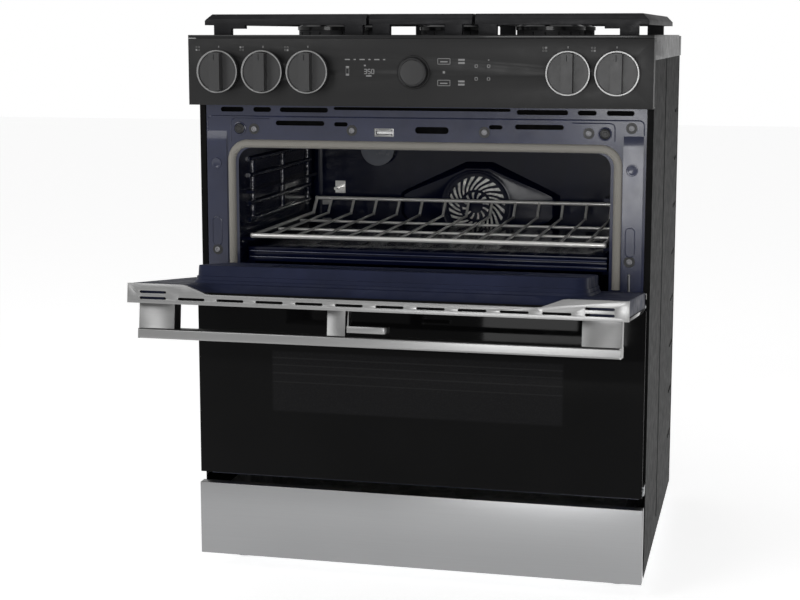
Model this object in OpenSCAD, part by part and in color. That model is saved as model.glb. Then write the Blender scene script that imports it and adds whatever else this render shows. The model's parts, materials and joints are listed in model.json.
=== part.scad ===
// Slide-in gas range, 30 inch class: split oven door, storage drawer, five burners.
// X is to the right, Y to the back, Z up. The origin is on the floor, in the middle
// of the footprint of the range with its upper door open.

/* [Overall] */
// Width across the control panel and the cooktop
range_w = 760; // [750:1:770]
// Width across the side panels
body_w = 757; // [749:1:767]
// Height of the cooktop rim above the floor
cook_h = 914; // [912:1:918]
// Depth from the control panel's face to the back
body_d = 662; // [655:1:680]

/* [Control panel] */
// Height of the panel's lower edge
panel_z = 800; // [798:1:804]
// Height of the knob centres
knob_z = 855; // [850:1:860]
// Distance between neighbouring knobs
knob_pitch = 76; // [74:1:80]
// Distance of the outer knobs from the middle
knob_outer_x = 325; // [320:1:330]
// Outer diameter of a knob's ring
knob_d = 70; // [60:1:72]
// How far a knob pushes in
knob_travel = 4; // [2:0.5:4]

/* [Doors] */
// Opening angle of the upper door as stored
open_angle = 83.5; // [60:0.5:88]
// Distance of the doors' outer face behind the control panel's face
door_y = 12.5; // [10:0.5:15]
// Thickness of both doors, without the plug
door_t = 29.5; // [28:0.5:30]
// Half width of the doors
door_hw = 375.9; // [374:0.1:376]
// Upper edge of the upper door
upper_top = 796; // [790:1:797]
// Lower edge of the upper door
upper_bottom = 491; // [490.5:0.1:492]
// Upper edge of the lower door
lower_top = 480; // [476:0.5:480]
// Lower edge of the lower door
lower_bottom = 173; // [172:1:176]
// How far the plug of each door reaches into the oven
plug_t = 27; // [20:1:28]

/* [Oven] */
// Half width inside the oven
oven_hw = 312; // [308:1:314]
// Inner floor of the oven
oven_floor = 215; // [212:1:220]
// Inner roof of the oven
oven_roof = 745; // [735:1:748]
// Inner back wall, behind the control panel's face
oven_back = 512; // [500:1:515]
// Height of the upper rack's wires
rack_z = 575; // [573:1:580]

/* [Drawer] */
// Lower edge of the drawer front
drawer_z = 28.5; // [28:0.5:32]
// Height of the drawer front
drawer_h = 125.5; // [110:0.5:126]
// Half width of the drawer front
drawer_hw = 377.9; // [370:0.1:378]

/* [Hidden] */
$fn = 48;
eps = 0.02;

// Sheet metal
sheet_t = 0.8;
side_x = body_w / 2;
rear_y = body_d - 7;
frame_y = 48;
frame_t = 1.2;
frame_hw = 367.9;
frame_z0 = 162;
frame_z1 = 798;
opening_z1 = 727;
base_z = 28;
base_t = 1;

// Split door: closed faces, pivots and plugs
door_in_y = door_y + door_t;
glass_t = 5;
glass_in_y = door_y + glass_t;
upper_pivot = [18, 486];
lower_pivot = [26, 182];
pin_r = 3;
hinge_pin_r = 4;
fit = 0.05;
liner_t = 1.2;
liner_hw = 374;
cap_h = 8;
cap_mid_t = 16;
plug_hw = oven_hw - 2;
plug_side_step = 2;
upper_plug = [514, 710];
lower_plug = [226, 464];
plug_step = 10;
plug_r = 26;
inner_glass_y = [door_in_y + plug_t - 5.4, door_in_y + plug_t - 1.4];

// Origin: middle of the footprint with the upper door open
door_rise = upper_top - upper_pivot[1];
door_reach = door_rise * sin(open_angle) - (door_y - upper_pivot[0]) * cos(open_angle);
face_y = -(body_d - (door_reach - upper_pivot[0])) / 2;

// Knobs from left to right
knob_xs = [-knob_outer_x, knob_pitch - knob_outer_x, 2 * knob_pitch - knob_outer_x,
    knob_outer_x - knob_pitch, knob_outer_x];
knob_face_y = -18;
knob_back_y = -2 - knob_travel;
stem_r = 4;
valve_y0 = 32;
valve_y1 = 66;
manifold_y = 80;
manifold_r = 9;
pipe_wall = 2;

// Burners: place and head radius
burners = [[-193, 185, 50], [-193, 445, 38], [0, 315, 56], [193, 185, 56], [193, 445, 44]];
pan_floor = 902;
pan_t = 1.2;
rim_t = 1.5;
rim_in = 358;
head_top = 922;
cap_top = 931;

// Grates
grate_y0 = 48;
grate_y1 = 588;
grate_split = 88;
grate_gap = 2;
grate_end = 368;
grate_top = 948;
grate_bar = 12;
grate_bar_h = 18;
grate_chamfer = 8;

// Oven fittings
fan_x = 11;
fan_z = 591;
fan_y = 492;
cover_x = 15;
cover_t = 24;
lamp_x = -183;
lamp_z = 697;
lamp_r = 33;
divider_y = [76, 484];
divider_z = [532, 556];
rack_y = [80, 478];
rack_hw = 300;
rack_rise = 26;
lower_rack_z = 330;
wire_r = 2.5;
rib_h = 14;
rib_y = [86, 470];
divider_hw = 306;

// ---------- helpers ----------

module placed() {
    translate([0, face_y, 0]) children();
}

module block(x, y, z) {
    translate([x[0], y[0], z[0]]) cube([x[1] - x[0], y[1] - y[0], z[1] - z[0]]);
}

module both_sides() {
    children();
    mirror([1, 0, 0]) children();
}

module rod_x(x, y, z, r) {
    translate([x[0], y, z]) rotate([0, 90, 0]) cylinder(r = r, h = x[1] - x[0]);
}

module rod_y(x, y, z, r) {
    translate([x, y[0], z]) rotate([-90, 0, 0]) cylinder(r = r, h = y[1] - y[0]);
}

module rod_z(x, y, z, r) {
    translate([x, y, z[0]]) cylinder(r = r, h = z[1] - z[0]);
}

// Rectangle with round corners, standing in the XZ plane and y thick
module plate(x, y, z, r) {
    block([x[0] + r, x[1] - r], y, z);
    block(x, y, [z[0] + r, z[1] - r]);
    for (cx = [x[0] + r, x[1] - r], cz = [z[0] + r, z[1] - r]) rod_y(cx, y, cz, r);
}

// Round-ended slot along X, cut along Y
module slot_y(x, length, z, height, y) {
    plate([x - length / 2, x + length / 2], y, [z - height / 2, z + height / 2], height / 2 - eps);
}

// Turns the closed upper door to the angle it is stored at
module opened() {
    translate([0, upper_pivot[0], upper_pivot[1]]) rotate([open_angle, 0, 0])
        translate([0, -upper_pivot[0], -upper_pivot[1]]) children();
}

// ---------- body ----------

module base_pan() {
    color("dimgray") placed() difference() {
        union() {
            block([-376.8, 376.8], [60, rear_y - 1], [base_z, base_z + base_t]);
            both_sides() block([376.8 - base_t, 376.8], [60, rear_y - 1], [base_z, base_z + 22]);
            block([-376.8, 376.8], [rear_y - 1 - base_t, rear_y - 1], [base_z, base_z + 22]);
        }
        feet_places() rod_z(0, 0, [base_z - 1, base_z + 3], 6.3);
    }
}

module feet_places() {
    for (x = [-330, 330], y = [115, 600]) translate([x, y, 0]) children();
}

module leveling_feet() {
    color("darkgray") placed() feet_places() {
        rod_z(0, 0, [0, 9], 21);
        rod_z(0, 0, [9 - eps, 44], 6);
        translate([0, 0, 20]) cylinder(r = 11, h = base_z - 20, $fn = 6);
    }
}

module side_panel() {
    block([side_x - sheet_t, side_x], [46, rear_y], [base_z + 2, cook_h - 14]);
    block([frame_hw + 0.7, side_x], [46, 46 + sheet_t], [192, frame_z1]);
    block([362, side_x], [rear_y - sheet_t, rear_y], [base_z + 40, cook_h - 20]);
}

module left_side_panel() {
    color("black") placed() mirror([1, 0, 0]) side_panel();
}

module right_side_panel() {
    color("black") placed() side_panel();
}

module back_panel() {
    color("silver") placed() difference() {
        union() {
            block([-361, 361], [rear_y - sheet_t, rear_y], [base_z + 32, cook_h - 20]);
            both_sides() block([361 - eps, 374], [rear_y - 2 * sheet_t - 0.2, rear_y - sheet_t - 0.2],
                [base_z + 32, cook_h - 20]);
            both_sides() block([359, 361], [rear_y - 2 * sheet_t - 0.2, rear_y - eps],
                [base_z + 32, cook_h - 20]);
        }
        rod_y(230, [rear_y - 10, rear_y + 1], 115, 18);
        block([-265, -215], [rear_y - 10, rear_y + 1], [95, 135]);
        for (x = [-240:40:240], z = [560:30:740]) slot_y(x, 26, z, 6, [rear_y - 10, rear_y + 1]);
    }
}

module cooktop() {
    rim_x = range_w / 2;
    color("black") placed() {
        difference() {
            union() {
                block([-rim_x, rim_x], [0, 37], [cook_h - 5, cook_h]);
                block([-rim_x, rim_x], [36, 600], [pan_floor, cook_h]);
            }
            plate_z([-rim_in, rim_in], [40, 592], [pan_floor + pan_t, cook_h + 1], 14);
            both_sides() block([rim_in + rim_t, rim_x - rim_t], [42, 594], [pan_floor - 1, cook_h - rim_t]);
            block([rim_t - rim_x, rim_x - rim_t], [rim_t, 34], [cook_h - 6, cook_h - rim_t]);
            for (b = burners) rod_z(b[0], b[1], [pan_floor - 1, pan_floor + 3], b[2] * 0.6);
        }
        both_sides() block([side_x + 0.3, rim_x], [30, 600], [875, pan_floor + 1]);
    }
}

// Rectangle with round corners lying flat
module plate_z(x, y, z, r) {
    block([x[0] + r, x[1] - r], y, z);
    block(x, [y[0] + r, y[1] - r], z);
    for (cx = [x[0] + r, x[1] - r], cy = [y[0] + r, y[1] - r]) rod_z(cx, cy, z, r);
}

module rear_vent_trim() {
    rim_x = range_w / 2;
    color("black") placed() difference() {
        union() {
            block([-rim_x, rim_x], [600.3, body_d], [pan_floor, cook_h - 2]);
            both_sides() block([side_x + 0.3, rim_x], [600.3, body_d], [875, pan_floor + 1]);
        }
        block([-rim_x + 6, rim_x - 6], [606, body_d - 6], [pan_floor - 1, cook_h - 5]);
        for (x = [-330:30:330]) block([x - 10, x + 10], [618, 644], [pan_floor, cook_h]);
    }
}

module control_panel() {
    px = range_w / 2;
    top = cook_h - 5.5;
    color("black") placed() difference() {
        union() {
            block([-px, px], [0, 3], [panel_z, top]);
            block([-px, px], [2, 34], [top - 2, top]);
            block([-px, px], [2, 45], [panel_z, panel_z + 2]);
            both_sides() block([px - 2, px], [2, 29], [panel_z, top]);
        }
        for (x = knob_xs) rod_y(x, [-1, 4], knob_z, stem_r + 1);
        rod_y(0, [-1, 4], knob_z, stem_r + 1);
    }
}

module control_board() {
    color("green") placed() difference() {
        union() {
            block([-150, 150], [30, 32], [812, 896]);
            block([-10, 10], [20, 30 + eps], [knob_z - 10, knob_z + 10]);
            block([-95, -25], [12, 30 + eps], [832, 880]);
            block([60, 130], [12, 30 + eps], [832, 880]);
            for (x = [-130, 130], z = [817, 891]) block([x - 5, x + 5], [3.2, 30 + eps], [z - 4, z + 4]);
        }
        rod_y(0, [19, 29], knob_z, stem_r + fit);
    }
}

// ---------- oven ----------

module oven_cavity() {
    t = sheet_t;
    color("midnightblue") placed() difference() {
        block([-oven_hw - t, oven_hw + t], [frame_y + frame_t, oven_back + t],
            [oven_floor - t, oven_roof + t]);
        block([-oven_hw, oven_hw], [frame_y, oven_back], [oven_floor, oven_roof]);
        rod_y(fan_x, [oven_back - 1, oven_back + 3], fan_z, 5);
        rod_y(lamp_x, [oven_back - 1, oven_back + 3], lamp_z, lamp_r - 5);
        rod_y(-262, [oven_back - 1, oven_back + 3], 620, 4.2);
        for (x = [-180:60:180]) block([x - 20, x + 20], [150, 158], [oven_floor - 3, oven_floor + 1]);
    }
    color("midnightblue") placed() both_sides() for (z = [rack_z, lower_rack_z, 440, 655])
        block([oven_hw - rib_h, oven_hw + eps], rib_y, [z - 9, z - 4]);
    color("midnightblue") placed() both_sides()
        block([oven_hw - rib_h, oven_hw + eps], rib_y, [divider_z[0] - 6, divider_z[0] - 0.3]);
}

// Vent slots of the front frame: middle, length, height above the floor and height of the slot
frame_slots = [[-322, 40, 791, 8], [-269.5, 31, 791, 8], [-197, 83, 791, 8], [2, 295, 794, 5],
    [201, 83, 791, 8], [273, 30, 791, 8], [326, 44, 791, 8], [-204, 84, 769, 8], [-133.5, 23, 768, 7],
    [20, 56, 760, 11], [125.5, 22, 766.5, 7], [196.5, 79, 767.5, 8]];
frame_plugs = [[-309.5, 759], [302, 758]];
frame_screw_places = [[-284, 758.5], [-115, 758], [107, 758], [276, 758.5], [344, 767.5],
    [344.5, 554], [-350.5, 554]];
latch_x = [-77, -44];
latch_z = [748.5, 762];

module oven_front_frame() {
    y = [frame_y, frame_y + frame_t];
    cut = [frame_y - 1, frame_y + frame_t + 1];
    color("slateblue") placed() difference() {
        block([-frame_hw, frame_hw], y, [frame_z0, frame_z1]);
        plate([-oven_hw, oven_hw], cut, [oven_floor, opening_z1], 24);
        for (s = frame_slots) slot_y(s[0], s[1], s[2], s[3], cut);
        for (p = frame_plugs) rod_y(p[0], cut, p[1], 6.2);
        for (p = frame_screw_places) rod_y(p[0], cut, p[1], 2.2);
        block(latch_x, cut, latch_z);
    }
}

// Half-round rope profile, its flat side on the front frame
gasket_r = 7;
gasket_set = 1.8;
gasket_hw = 323.6;
gasket_corner = 28;

module gasket_leg(x, z) {
    intersection() {
        rod_z(x, frame_y + gasket_set, z, gasket_r);
        block([x - 10, x + 10], [frame_y - 10, frame_y], z);
    }
}

module gasket_bar(x, z) {
    intersection() {
        rod_x(x, frame_y + gasket_set, z, gasket_r);
        block(x, [frame_y - 10, frame_y], [z - 10, z + 10]);
    }
}

module gasket_bend(x, z, start) {
    translate([x, frame_y, z]) rotate([90, -start, 0]) rotate_extrude(angle = 90)
        intersection() {
            translate([gasket_corner, -gasket_set]) circle(r = gasket_r);
            translate([gasket_corner - 10, 0]) square([20, 10]);
        }
}

module door_gasket() {
    run = gasket_hw - gasket_corner;
    top = 734;
    low = 206;
    color("gray") placed() {
        gasket_leg(gasket_hw, [508, top - gasket_corner]);
        gasket_leg(-gasket_hw, [508, top - gasket_corner]);
        gasket_bar([-run, run], top);
        gasket_bend(run, top - gasket_corner, 0);
        gasket_bend(-run, top - gasket_corner, 90);
        gasket_leg(gasket_hw, [low + gasket_corner, 468]);
        gasket_leg(-gasket_hw, [low + gasket_corner, 468]);
        gasket_bar([-run, run], low);
        gasket_bend(run, low + gasket_corner, -90);
        gasket_bend(-run, low + gasket_corner, 180);
    }
}

module insulation() {
    g = sheet_t + 0.5;
    wool = g + 14;
    color("khaki") placed() difference() {
        block([-oven_hw - wool, oven_hw + wool], [80, oven_back + wool], [164, oven_roof + wool]);
        block([-oven_hw - g, oven_hw + g], [79, oven_back + g], [oven_floor - 44, oven_roof + g]);
        rod_y(fan_x, [500, 546], fan_z, 48);
        rod_y(lamp_x, [500, 546], lamp_z, lamp_r + 4);
        rod_y(-262, [500, 546], 620, 12);
    }
}

module oven_divider() {
    color("midnightblue") placed() difference() {
        block([-divider_hw, divider_hw], divider_y, divider_z);
        block([1.5 - divider_hw, divider_hw - 1.5], [divider_y[0] + 2.2, divider_y[1] - 1.5],
            [divider_z[0] - 1, divider_z[1] - 1.2]);
        for (z = [divider_z[0] + 8, divider_z[0] + 16])
            block([-divider_hw - 1, divider_hw + 1], [divider_y[0] - 1, divider_y[0] + 1], [z - 1, z + 1]);
        for (x = [-240:40:240]) block([x - 4, x + 4], [140, 420], [divider_z[1] - 1, divider_z[1] + 1]);
    }
}

// Ball that joins two wires at a bend
module ball(x, y, z, r) {
    translate([x, y, z]) sphere(r = r, $fn = 24);
}

// One wire of the rack: along Y, then up to the back bar
module rack_wire(x, z, r) {
    bend_y = rack_y[1] - rack_rise;
    rod_y(x, [rack_y[0], bend_y], z, r);
    ball(x, bend_y, z, r + 0.4);
    translate([x, bend_y, z]) rotate([-45, 0, 0]) cylinder(r = r, h = rack_rise * sqrt(2));
}

// Wire rack: border, cross bars, wires and a raised back bar
module wire_rack(z) {
    rod_x([-rack_hw, rack_hw], rack_y[0], z, 4);
    for (y = [215, 350]) rod_x([4 - rack_hw, rack_hw - 4], y, z - wire_r - 1.5, wire_r);
    rod_x([-rack_hw, rack_hw], rack_y[1], z + rack_rise, 3.5);
    for (i = [-6:6]) rack_wire(i * rack_hw / 6.66, z, wire_r);
    both_sides() {
        rack_wire(rack_hw, z, 3.2);
        ball(rack_hw, rack_y[0], z, 4.5);
        ball(rack_hw, rack_y[1], z + rack_rise, 4.2);
    }
}

module lower_rack() {
    color("silver") placed() wire_rack(lower_rack_z);
}

module upper_rack() {
    color("silver") placed() wire_rack(rack_z);
}

module cover_outline(inset) {
    wide = 155 - inset;
    polygon([[cover_x - wide, 565], [cover_x - wide, 613], [cover_x - 26, 674 - inset],
        [cover_x + 26, 674 - inset], [cover_x + wide, 613], [cover_x + wide, 565],
        [cover_x + 40, 512 + inset], [cover_x - 40, 512 + inset]]);
}

module fan_cover() {
    y0 = oven_back - cover_t;
    color("midnightblue") placed() difference() {
        translate([0, oven_back, 0]) rotate([90, 0, 0]) linear_extrude(cover_t) cover_outline(0);
        translate([0, oven_back + 1, 0]) rotate([90, 0, 0]) linear_extrude(cover_t - 1) cover_outline(2);
        for (ring = [0, 1], i = [0:11]) translate([fan_x, 0, fan_z]) rotate([0, i * 30 + ring * 15, 0])
            translate([ring * 27, 0, 0]) rotate([0, 38, 0])
                slot_y(22, 20, 0, 4, [y0 - 1, y0 + 3]);
    }
}

module convection_fan() {
    color("silver") placed() {
        rod_y(fan_x, [fan_y, fan_y + 12], fan_z, 10);
        rod_y(fan_x, [fan_y + 11, fan_y + 12], fan_z, 55);
        rod_y(fan_x, [fan_y + 11, oven_back + 12], fan_z, stem_r);
        for (i = [0:11]) translate([fan_x, 0, fan_z]) rotate([0, i * 30, 0])
            translate([20, fan_y, -0.8]) cube([34, 11 + eps, 1.6]);
    }
}

module fan_motor() {
    color("dimgray") placed() difference() {
        union() {
            rod_y(fan_x, [oven_back + 6, oven_back + 46], fan_z, 34);
            block([fan_x - 42, fan_x + 42], [oven_back + sheet_t, oven_back + 6 + eps],
                [fan_z - 8, fan_z + 8]);
        }
        rod_y(fan_x, [oven_back, oven_back + 14], fan_z, stem_r + fit);
    }
}

module oven_lamp() {
    color("white") placed() {
        rod_y(lamp_x, [oven_back + sheet_t, oven_back + 30], lamp_z, lamp_r);
        rod_y(lamp_x, [oven_back - 12, oven_back + 30], lamp_z, 9);
    }
}

module lamp_lens() {
    color("lightyellow") placed() difference() {
        rod_y(lamp_x, [oven_back - 18, oven_back], lamp_z, lamp_r);
        rod_y(lamp_x, [oven_back - 15, oven_back + 1], lamp_z, lamp_r - 3);
    }
}

module temperature_sensor() {
    color("silver") placed() {
        rod_y(-262, [oven_back - 38, oven_back + 16], 620, 3);
        block([-272, -252], [oven_back - 1.5, oven_back], [608, 632]);
        block([-270, -254], [oven_back + sheet_t, oven_back + 10], [612, 628]);
    }
}

module bake_burner() {
    z = oven_floor - 23;
    color("silver") placed() {
        rod_y(0, [120, 470], z, 9);
        both_sides() rod_y(170, [120, 470], z, 7);
        rod_x([-177, 177], 470, z, 7);
        rod_y(0, [469, 507], z, 5);
    }
}

module broil_burner() {
    z = oven_roof - 16;
    color("silver") placed() {
        both_sides() rod_y(60, [130, 430], z, 7);
        rod_x([-67, 67], 130, z, 7);
        rod_x([-67, 67], 430, z, 7);
        for (x = [-60, 60], y = [180, 380]) block([x - 6, x + 6], [y - 6, y + 6], [z, oven_roof]);
    }
}

// ---------- gas and power ----------

// Manifold behind the valves, and its riser: cut is 0 for the outside, the wall for the inside
module manifold_pipes(cut) {
    riser_x = 335;
    r = manifold_r - 1 - cut;
    rod_x([-345 - cut, 345 + cut], manifold_y, knob_z, manifold_r - cut);
    rod_y(riser_x, [manifold_y, 600], knob_z, r);
    rod_z(riser_x, 600, [120 - cut, knob_z + 8 - cut], r);
}

module gas_manifold() {
    color("gray") placed() difference() {
        manifold_pipes(0);
        manifold_pipes(pipe_wall);
    }
}

module gas_valves() {
    color("goldenrod") placed() for (x = knob_xs) difference() {
        union() {
            block([x - 13, x + 13], [valve_y0, valve_y1], [knob_z - 14, knob_z + 14]);
            rod_y(x, [valve_y1 - 1, manifold_y - manifold_r + 0.5], knob_z, 5);
        }
        rod_y(x, [valve_y0 - 1, valve_y0 + 16], knob_z, stem_r + fit);
        rod_x([x - 20, x + 20], manifold_y, knob_z, manifold_r + 0.2);
    }
}

module burner_heads() {
    color("silver") placed() for (b = burners) {
        rod_z(b[0], b[1], [pan_floor + pan_t, pan_floor + 8], b[2] * 0.8);
        rod_z(b[0], b[1], [880, pan_floor + 5], b[2] * 0.5);
        difference() {
            rod_z(b[0], b[1], [pan_floor + 8 - eps, head_top], b[2]);
            for (i = [0:15]) translate([b[0], b[1], 0]) rotate([0, 0, i * 22.5])
                translate([b[2] - 5, -1.2, head_top - 9]) cube([8, 2.4, 6]);
        }
    }
}

module burner_caps() {
    color("black") placed() for (b = burners) {
        rod_z(b[0], b[1], [head_top, cap_top - 3], b[2] + 2);
        translate([b[0], b[1], cap_top - 3 - eps]) cylinder(r1 = b[2] + 2, r2 = b[2] - 6, h = 3);
    }
}

module gas_inlet() {
    color("gray") placed() {
        block([205, 255], [600, 632], [98, 132]);
        rod_z(230, 616, [132 - eps, 146], 18);
        rod_y(230, [631, body_d - 3], 115, 10.65);
        rod_x([254, 327], 612, 112, 7);
    }
}

module power_inlet() {
    color("black") placed() difference() {
        union() {
            block([-262, -218], [rear_y - 40, rear_y - 0.3], [98, 132]);
            block([-270, -210], [rear_y, rear_y + 2], [88, 142]);
        }
        block([-252, -228], [rear_y - 20, rear_y + 3], [104, 126]);
    }
}

// ---------- small front parts ----------

module frame_screws() {
    color("black") placed() {
        for (p = frame_screw_places) {
            rod_y(p[0], [frame_y - 2.4, frame_y], p[1], 4);
            rod_y(p[0], [frame_y - eps, frame_y + 9], p[1], 1.9);
        }
        for (p = frame_plugs) {
            rod_y(p[0], [frame_y - 2, frame_y], p[1], 8);
            rod_y(p[0], [frame_y - eps, frame_y + 6], p[1], 6);
        }
    }
}

module door_latch() {
    x = [latch_x[0] + 2.5, latch_x[1] - 2.5];
    y = [frame_y - 5, frame_y + 22];
    z = [latch_z[0] + 2, latch_z[1] - 2];
    color("silver") placed() {
        block(x, y, [z[0], z[0] + 2]);
        block(x, y, [z[1] - 2, z[1]]);
        block([x[0], x[0] + 2], y, z);
        block([x[0] - 8, x[1] + 8], [frame_y + frame_t, frame_y + frame_t + 2], [z[0] - 3.5, z[1] + 5]);
    }
}

module hinge_brackets() {
    y = lower_pivot[0];
    z = lower_pivot[1];
    color("silver") placed() both_sides() {
        block([liner_hw + 0.8, side_x - sheet_t], [y, 90], [z - 7.5, z + 7.5]);
        rod_x([366, side_x - sheet_t], y, z, hinge_pin_r);
    }
}

// ---------- grates ----------

// One grate between x0 and x1; reach says which burners its fingers point to
module grate_frame(x0, x1) {
    z = [grate_top - grate_bar_h, grate_top];
    for (y = [grate_y0, grate_y1 - grate_bar]) block([x0, x1], [y, y + grate_bar], z);
    for (x = [x0, x1 - grate_bar]) block([x, x + grate_bar], [grate_y0, grate_y1], z);
    block([x0, x1], [312, 312 + grate_bar], [grate_top - 12, grate_top]);
    for (x = [x0 + 6, x1 - 46], y = [grate_y0, grate_y1 - grate_bar])
        block([x, x + 30], [y, y + grate_bar], [pan_floor + pan_t, grate_top - 4]);
}

module grate_fingers(cx, cy, x0, x1, y0, y1, free) {
    z = [grate_top - 9, grate_top];
    w = 4.5;
    block([x0, cx - free], [cy - w, cy + w], z);
    block([cx + free, x1], [cy - w, cy + w], z);
    block([cx - w, cx + w], [y0, cy - free], z);
    block([cx - w, cx + w], [cy + free, y1], z);
}

module side_grate() {
    x0 = grate_split + grate_gap;
    difference() {
        union() {
            grate_frame(x0, grate_end);
            grate_fingers(193, 185, x0, grate_end, grate_y0, 318, 22);
            grate_fingers(193, 445, x0, grate_end, 318, grate_y1, 22);
            for (y = [120, 250, 380, 510]) {
                block([x0, x0 + 60], [y - 4.5, y + 4.5], [grate_top - 9, grate_top]);
                block([grate_end - 95, grate_end], [y - 4.5, y + 4.5], [grate_top - 9, grate_top]);
            }
            block([grate_end - 70, grate_end - 20], [grate_y0, grate_y0 + grate_bar],
                [grate_top - 24, grate_top - 10]);
        }
        translate([grate_end, 0, grate_top]) rotate([0, 45, 0]) cube([24, 2000, 15], center = true);
        front_chamfer();
    }
}

// Removes the sharp upper edge along the front of a grate
module front_chamfer() {
    s = grate_chamfer * sqrt(2);
    translate([0, grate_y0, grate_top]) rotate([45, 0, 0]) cube([1000, s, s], center = true);
}

module grate_left() {
    color("dimgray") placed() mirror([1, 0, 0]) side_grate();
}

module grate_right() {
    color("dimgray") placed() side_grate();
}

module grate_center() {
    hw = grate_split - grate_gap;
    color("dimgray") placed() difference() {
        union() {
            grate_frame(-hw, hw);
            for (x = [-45, 45], s = [0, 1])
                block([x - 4.5, x + 4.5], s == 0 ? [grate_y0, 280] : [350, grate_y1],
                    [grate_top - 9, grate_top]);
        }
        front_chamfer();
    }
}

// ---------- knobs ----------

module knob(i) {
    r = knob_d / 2;
    placed() difference() {
        union() {
            rod_y(knob_xs[i], [knob_face_y, knob_back_y], knob_z, r);
            block([knob_xs[i] - 9, knob_xs[i] + 9], [knob_face_y - 14, knob_face_y + 4],
                [knob_z - r + 3.5, knob_z + r - 3.5]);
        }
        difference() {
            rod_y(knob_xs[i], [knob_face_y - 1, knob_face_y + 3], knob_z, r - 3);
            block([knob_xs[i] - 9, knob_xs[i] + 9], [knob_face_y - 2, knob_face_y + 4],
                [knob_z - r, knob_z + r]);
        }
        rod_y(knob_xs[i], [knob_back_y - 8, knob_back_y + 1], knob_z, stem_r + fit);
    }
}

module valve_stem(i) {
    placed() {
        rod_y(knob_xs[i], [knob_back_y - 7.5, valve_y0 + 8], knob_z, stem_r);
        rod_y(knob_xs[i], [valve_y0 - 10, valve_y0 - 6], knob_z, 6.5);
    }
}

module knob_1() { color("black") knob(0); }
module knob_2() { color("black") knob(1); }
module knob_3() { color("black") knob(2); }
module knob_4() { color("black") knob(3); }
module knob_5() { color("black") knob(4); }
module valve_stem_1() { color("silver") valve_stem(0); }
module valve_stem_2() { color("silver") valve_stem(1); }
module valve_stem_3() { color("silver") valve_stem(2); }
module valve_stem_4() { color("silver") valve_stem(3); }
module valve_stem_5() { color("silver") valve_stem(4); }

module dial() {
    color("black") placed() {
        rod_y(0, [-12, -1.5], knob_z, 23.5);
        rod_y(0, [-2, 28], knob_z, stem_r);
    }
}

// ---------- doors, modelled closed ----------

// Hollow box of sheet metal with a stepped plug on its inner side
module liner(z, plug_z, window) {
    t = liner_t;
    ph = plug_hw - plug_side_step;
    front = [plug_z[0] + plug_step, plug_z[1] - plug_step];
    difference() {
        union() {
            block([-liner_hw, liner_hw], [glass_in_y, door_in_y], z);
            plate([-plug_hw, plug_hw], [door_in_y - eps, door_in_y + 11], plug_z, plug_r);
            plate([-ph, ph], [door_in_y + 10, door_in_y + plug_t], front, plug_r);
        }
        block([-liner_hw + t, liner_hw - t], [glass_in_y - 1, door_in_y - t], [z[0] + t, z[1] - t]);
        plate([-plug_hw + t, plug_hw - t], [door_in_y - t - 1, door_in_y + 11 - t],
            [plug_z[0] + t, plug_z[1] - t], plug_r - t);
        plate([-ph + t, ph - t], [door_in_y, door_in_y + plug_t - t],
            [front[0] + t, front[1] - t], plug_r - t);
        block([-200, 200], [door_in_y, door_in_y + plug_t + 1], window);
    }
}

module door_glass(z) {
    block([-door_hw, door_hw], [door_y, glass_in_y], z);
}

module upper_door_glass() {
    color("black") placed() opened() difference() {
        door_glass([upper_bottom, upper_top - cap_h - 0.2]);
        block([lever_x[0] - 1, lever_x[0] + lever_t + 1], [0, 20], [lever_z[0] + 2, lever_z[1] - 2]);
    }
}

module upper_door_liner() {
    top = upper_top - cap_h - 0.2;
    color("slateblue") placed() opened() difference() {
        union() {
            liner([upper_bottom + 3, top], upper_plug, [560, 664]);
            both_sides() {
                rod_x([liner_hw - 2, liner_hw], upper_pivot[0], upper_pivot[1], 5.2);
                block([liner_hw - 2, liner_hw], [glass_in_y + 0.2, upper_pivot[0] + 5.2],
                    [upper_pivot[1], upper_bottom + 4]);
            }
        }
        block([-270, 270], [door_y + cap_mid_t + 2, 80], [top - 22, top + 1]);
        both_sides() rod_x([360, 380], upper_pivot[0], upper_pivot[1], pin_r + fit);
    }
    color("slateblue") placed() opened()
        block([-274, 274], [door_y + cap_mid_t, door_y + cap_mid_t + 2], [top - 24, top]);
    color("slateblue") placed() opened()
        block([-274, 274], [door_y + cap_mid_t, door_in_y - 1], [top - 24, top - 22]);
}

module upper_inner_glass() {
    color("dimgray") placed() opened()
        block([-215, 215], inner_glass_y, [548, 676]);
}

module top_cap() {
    z = [upper_top - cap_h, upper_top];
    y_mid = door_y + cap_mid_t;
    pitch = 60.9;
    color("silver") placed() opened() difference() {
        translate([0, 0, z[0]]) linear_extrude(cap_h) polygon([[-door_hw, door_y], [door_hw, door_y],
            [door_hw, door_in_y], [289, door_in_y], [282, door_in_y - 1], [252, y_mid + 1],
            [245, y_mid], [-245, y_mid], [-252, y_mid + 1], [-282, door_in_y - 1],
            [-289, door_in_y], [-door_hw, door_in_y]]);
        for (i = [-4.5:4.5]) cap_slot(i * pitch, door_y + 8);
        for (x = [-5.5, 5.5], y = [8, 17]) cap_slot(x * pitch, door_y + y);
    }
}

module cap_slot(x, y) {
    block([x - 19, x + 19], [y - 2, y + 2], [upper_top - cap_h - 1, upper_top + 1]);
    for (s = [-19, 19]) rod_z(x + s, y, [upper_top - cap_h - 1, upper_top + 1], 2 - eps);
}

handle_z = [742, 778];
handle_y = [-42, -26.5];
handle_hw = 365;
post_x = [-69, -41];
lever_x = [-39, 21];
lever_y = [-21, -11];
lever_z = [752, 774];
lever_t = 2.5;
lever_end_r = 5;

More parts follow.
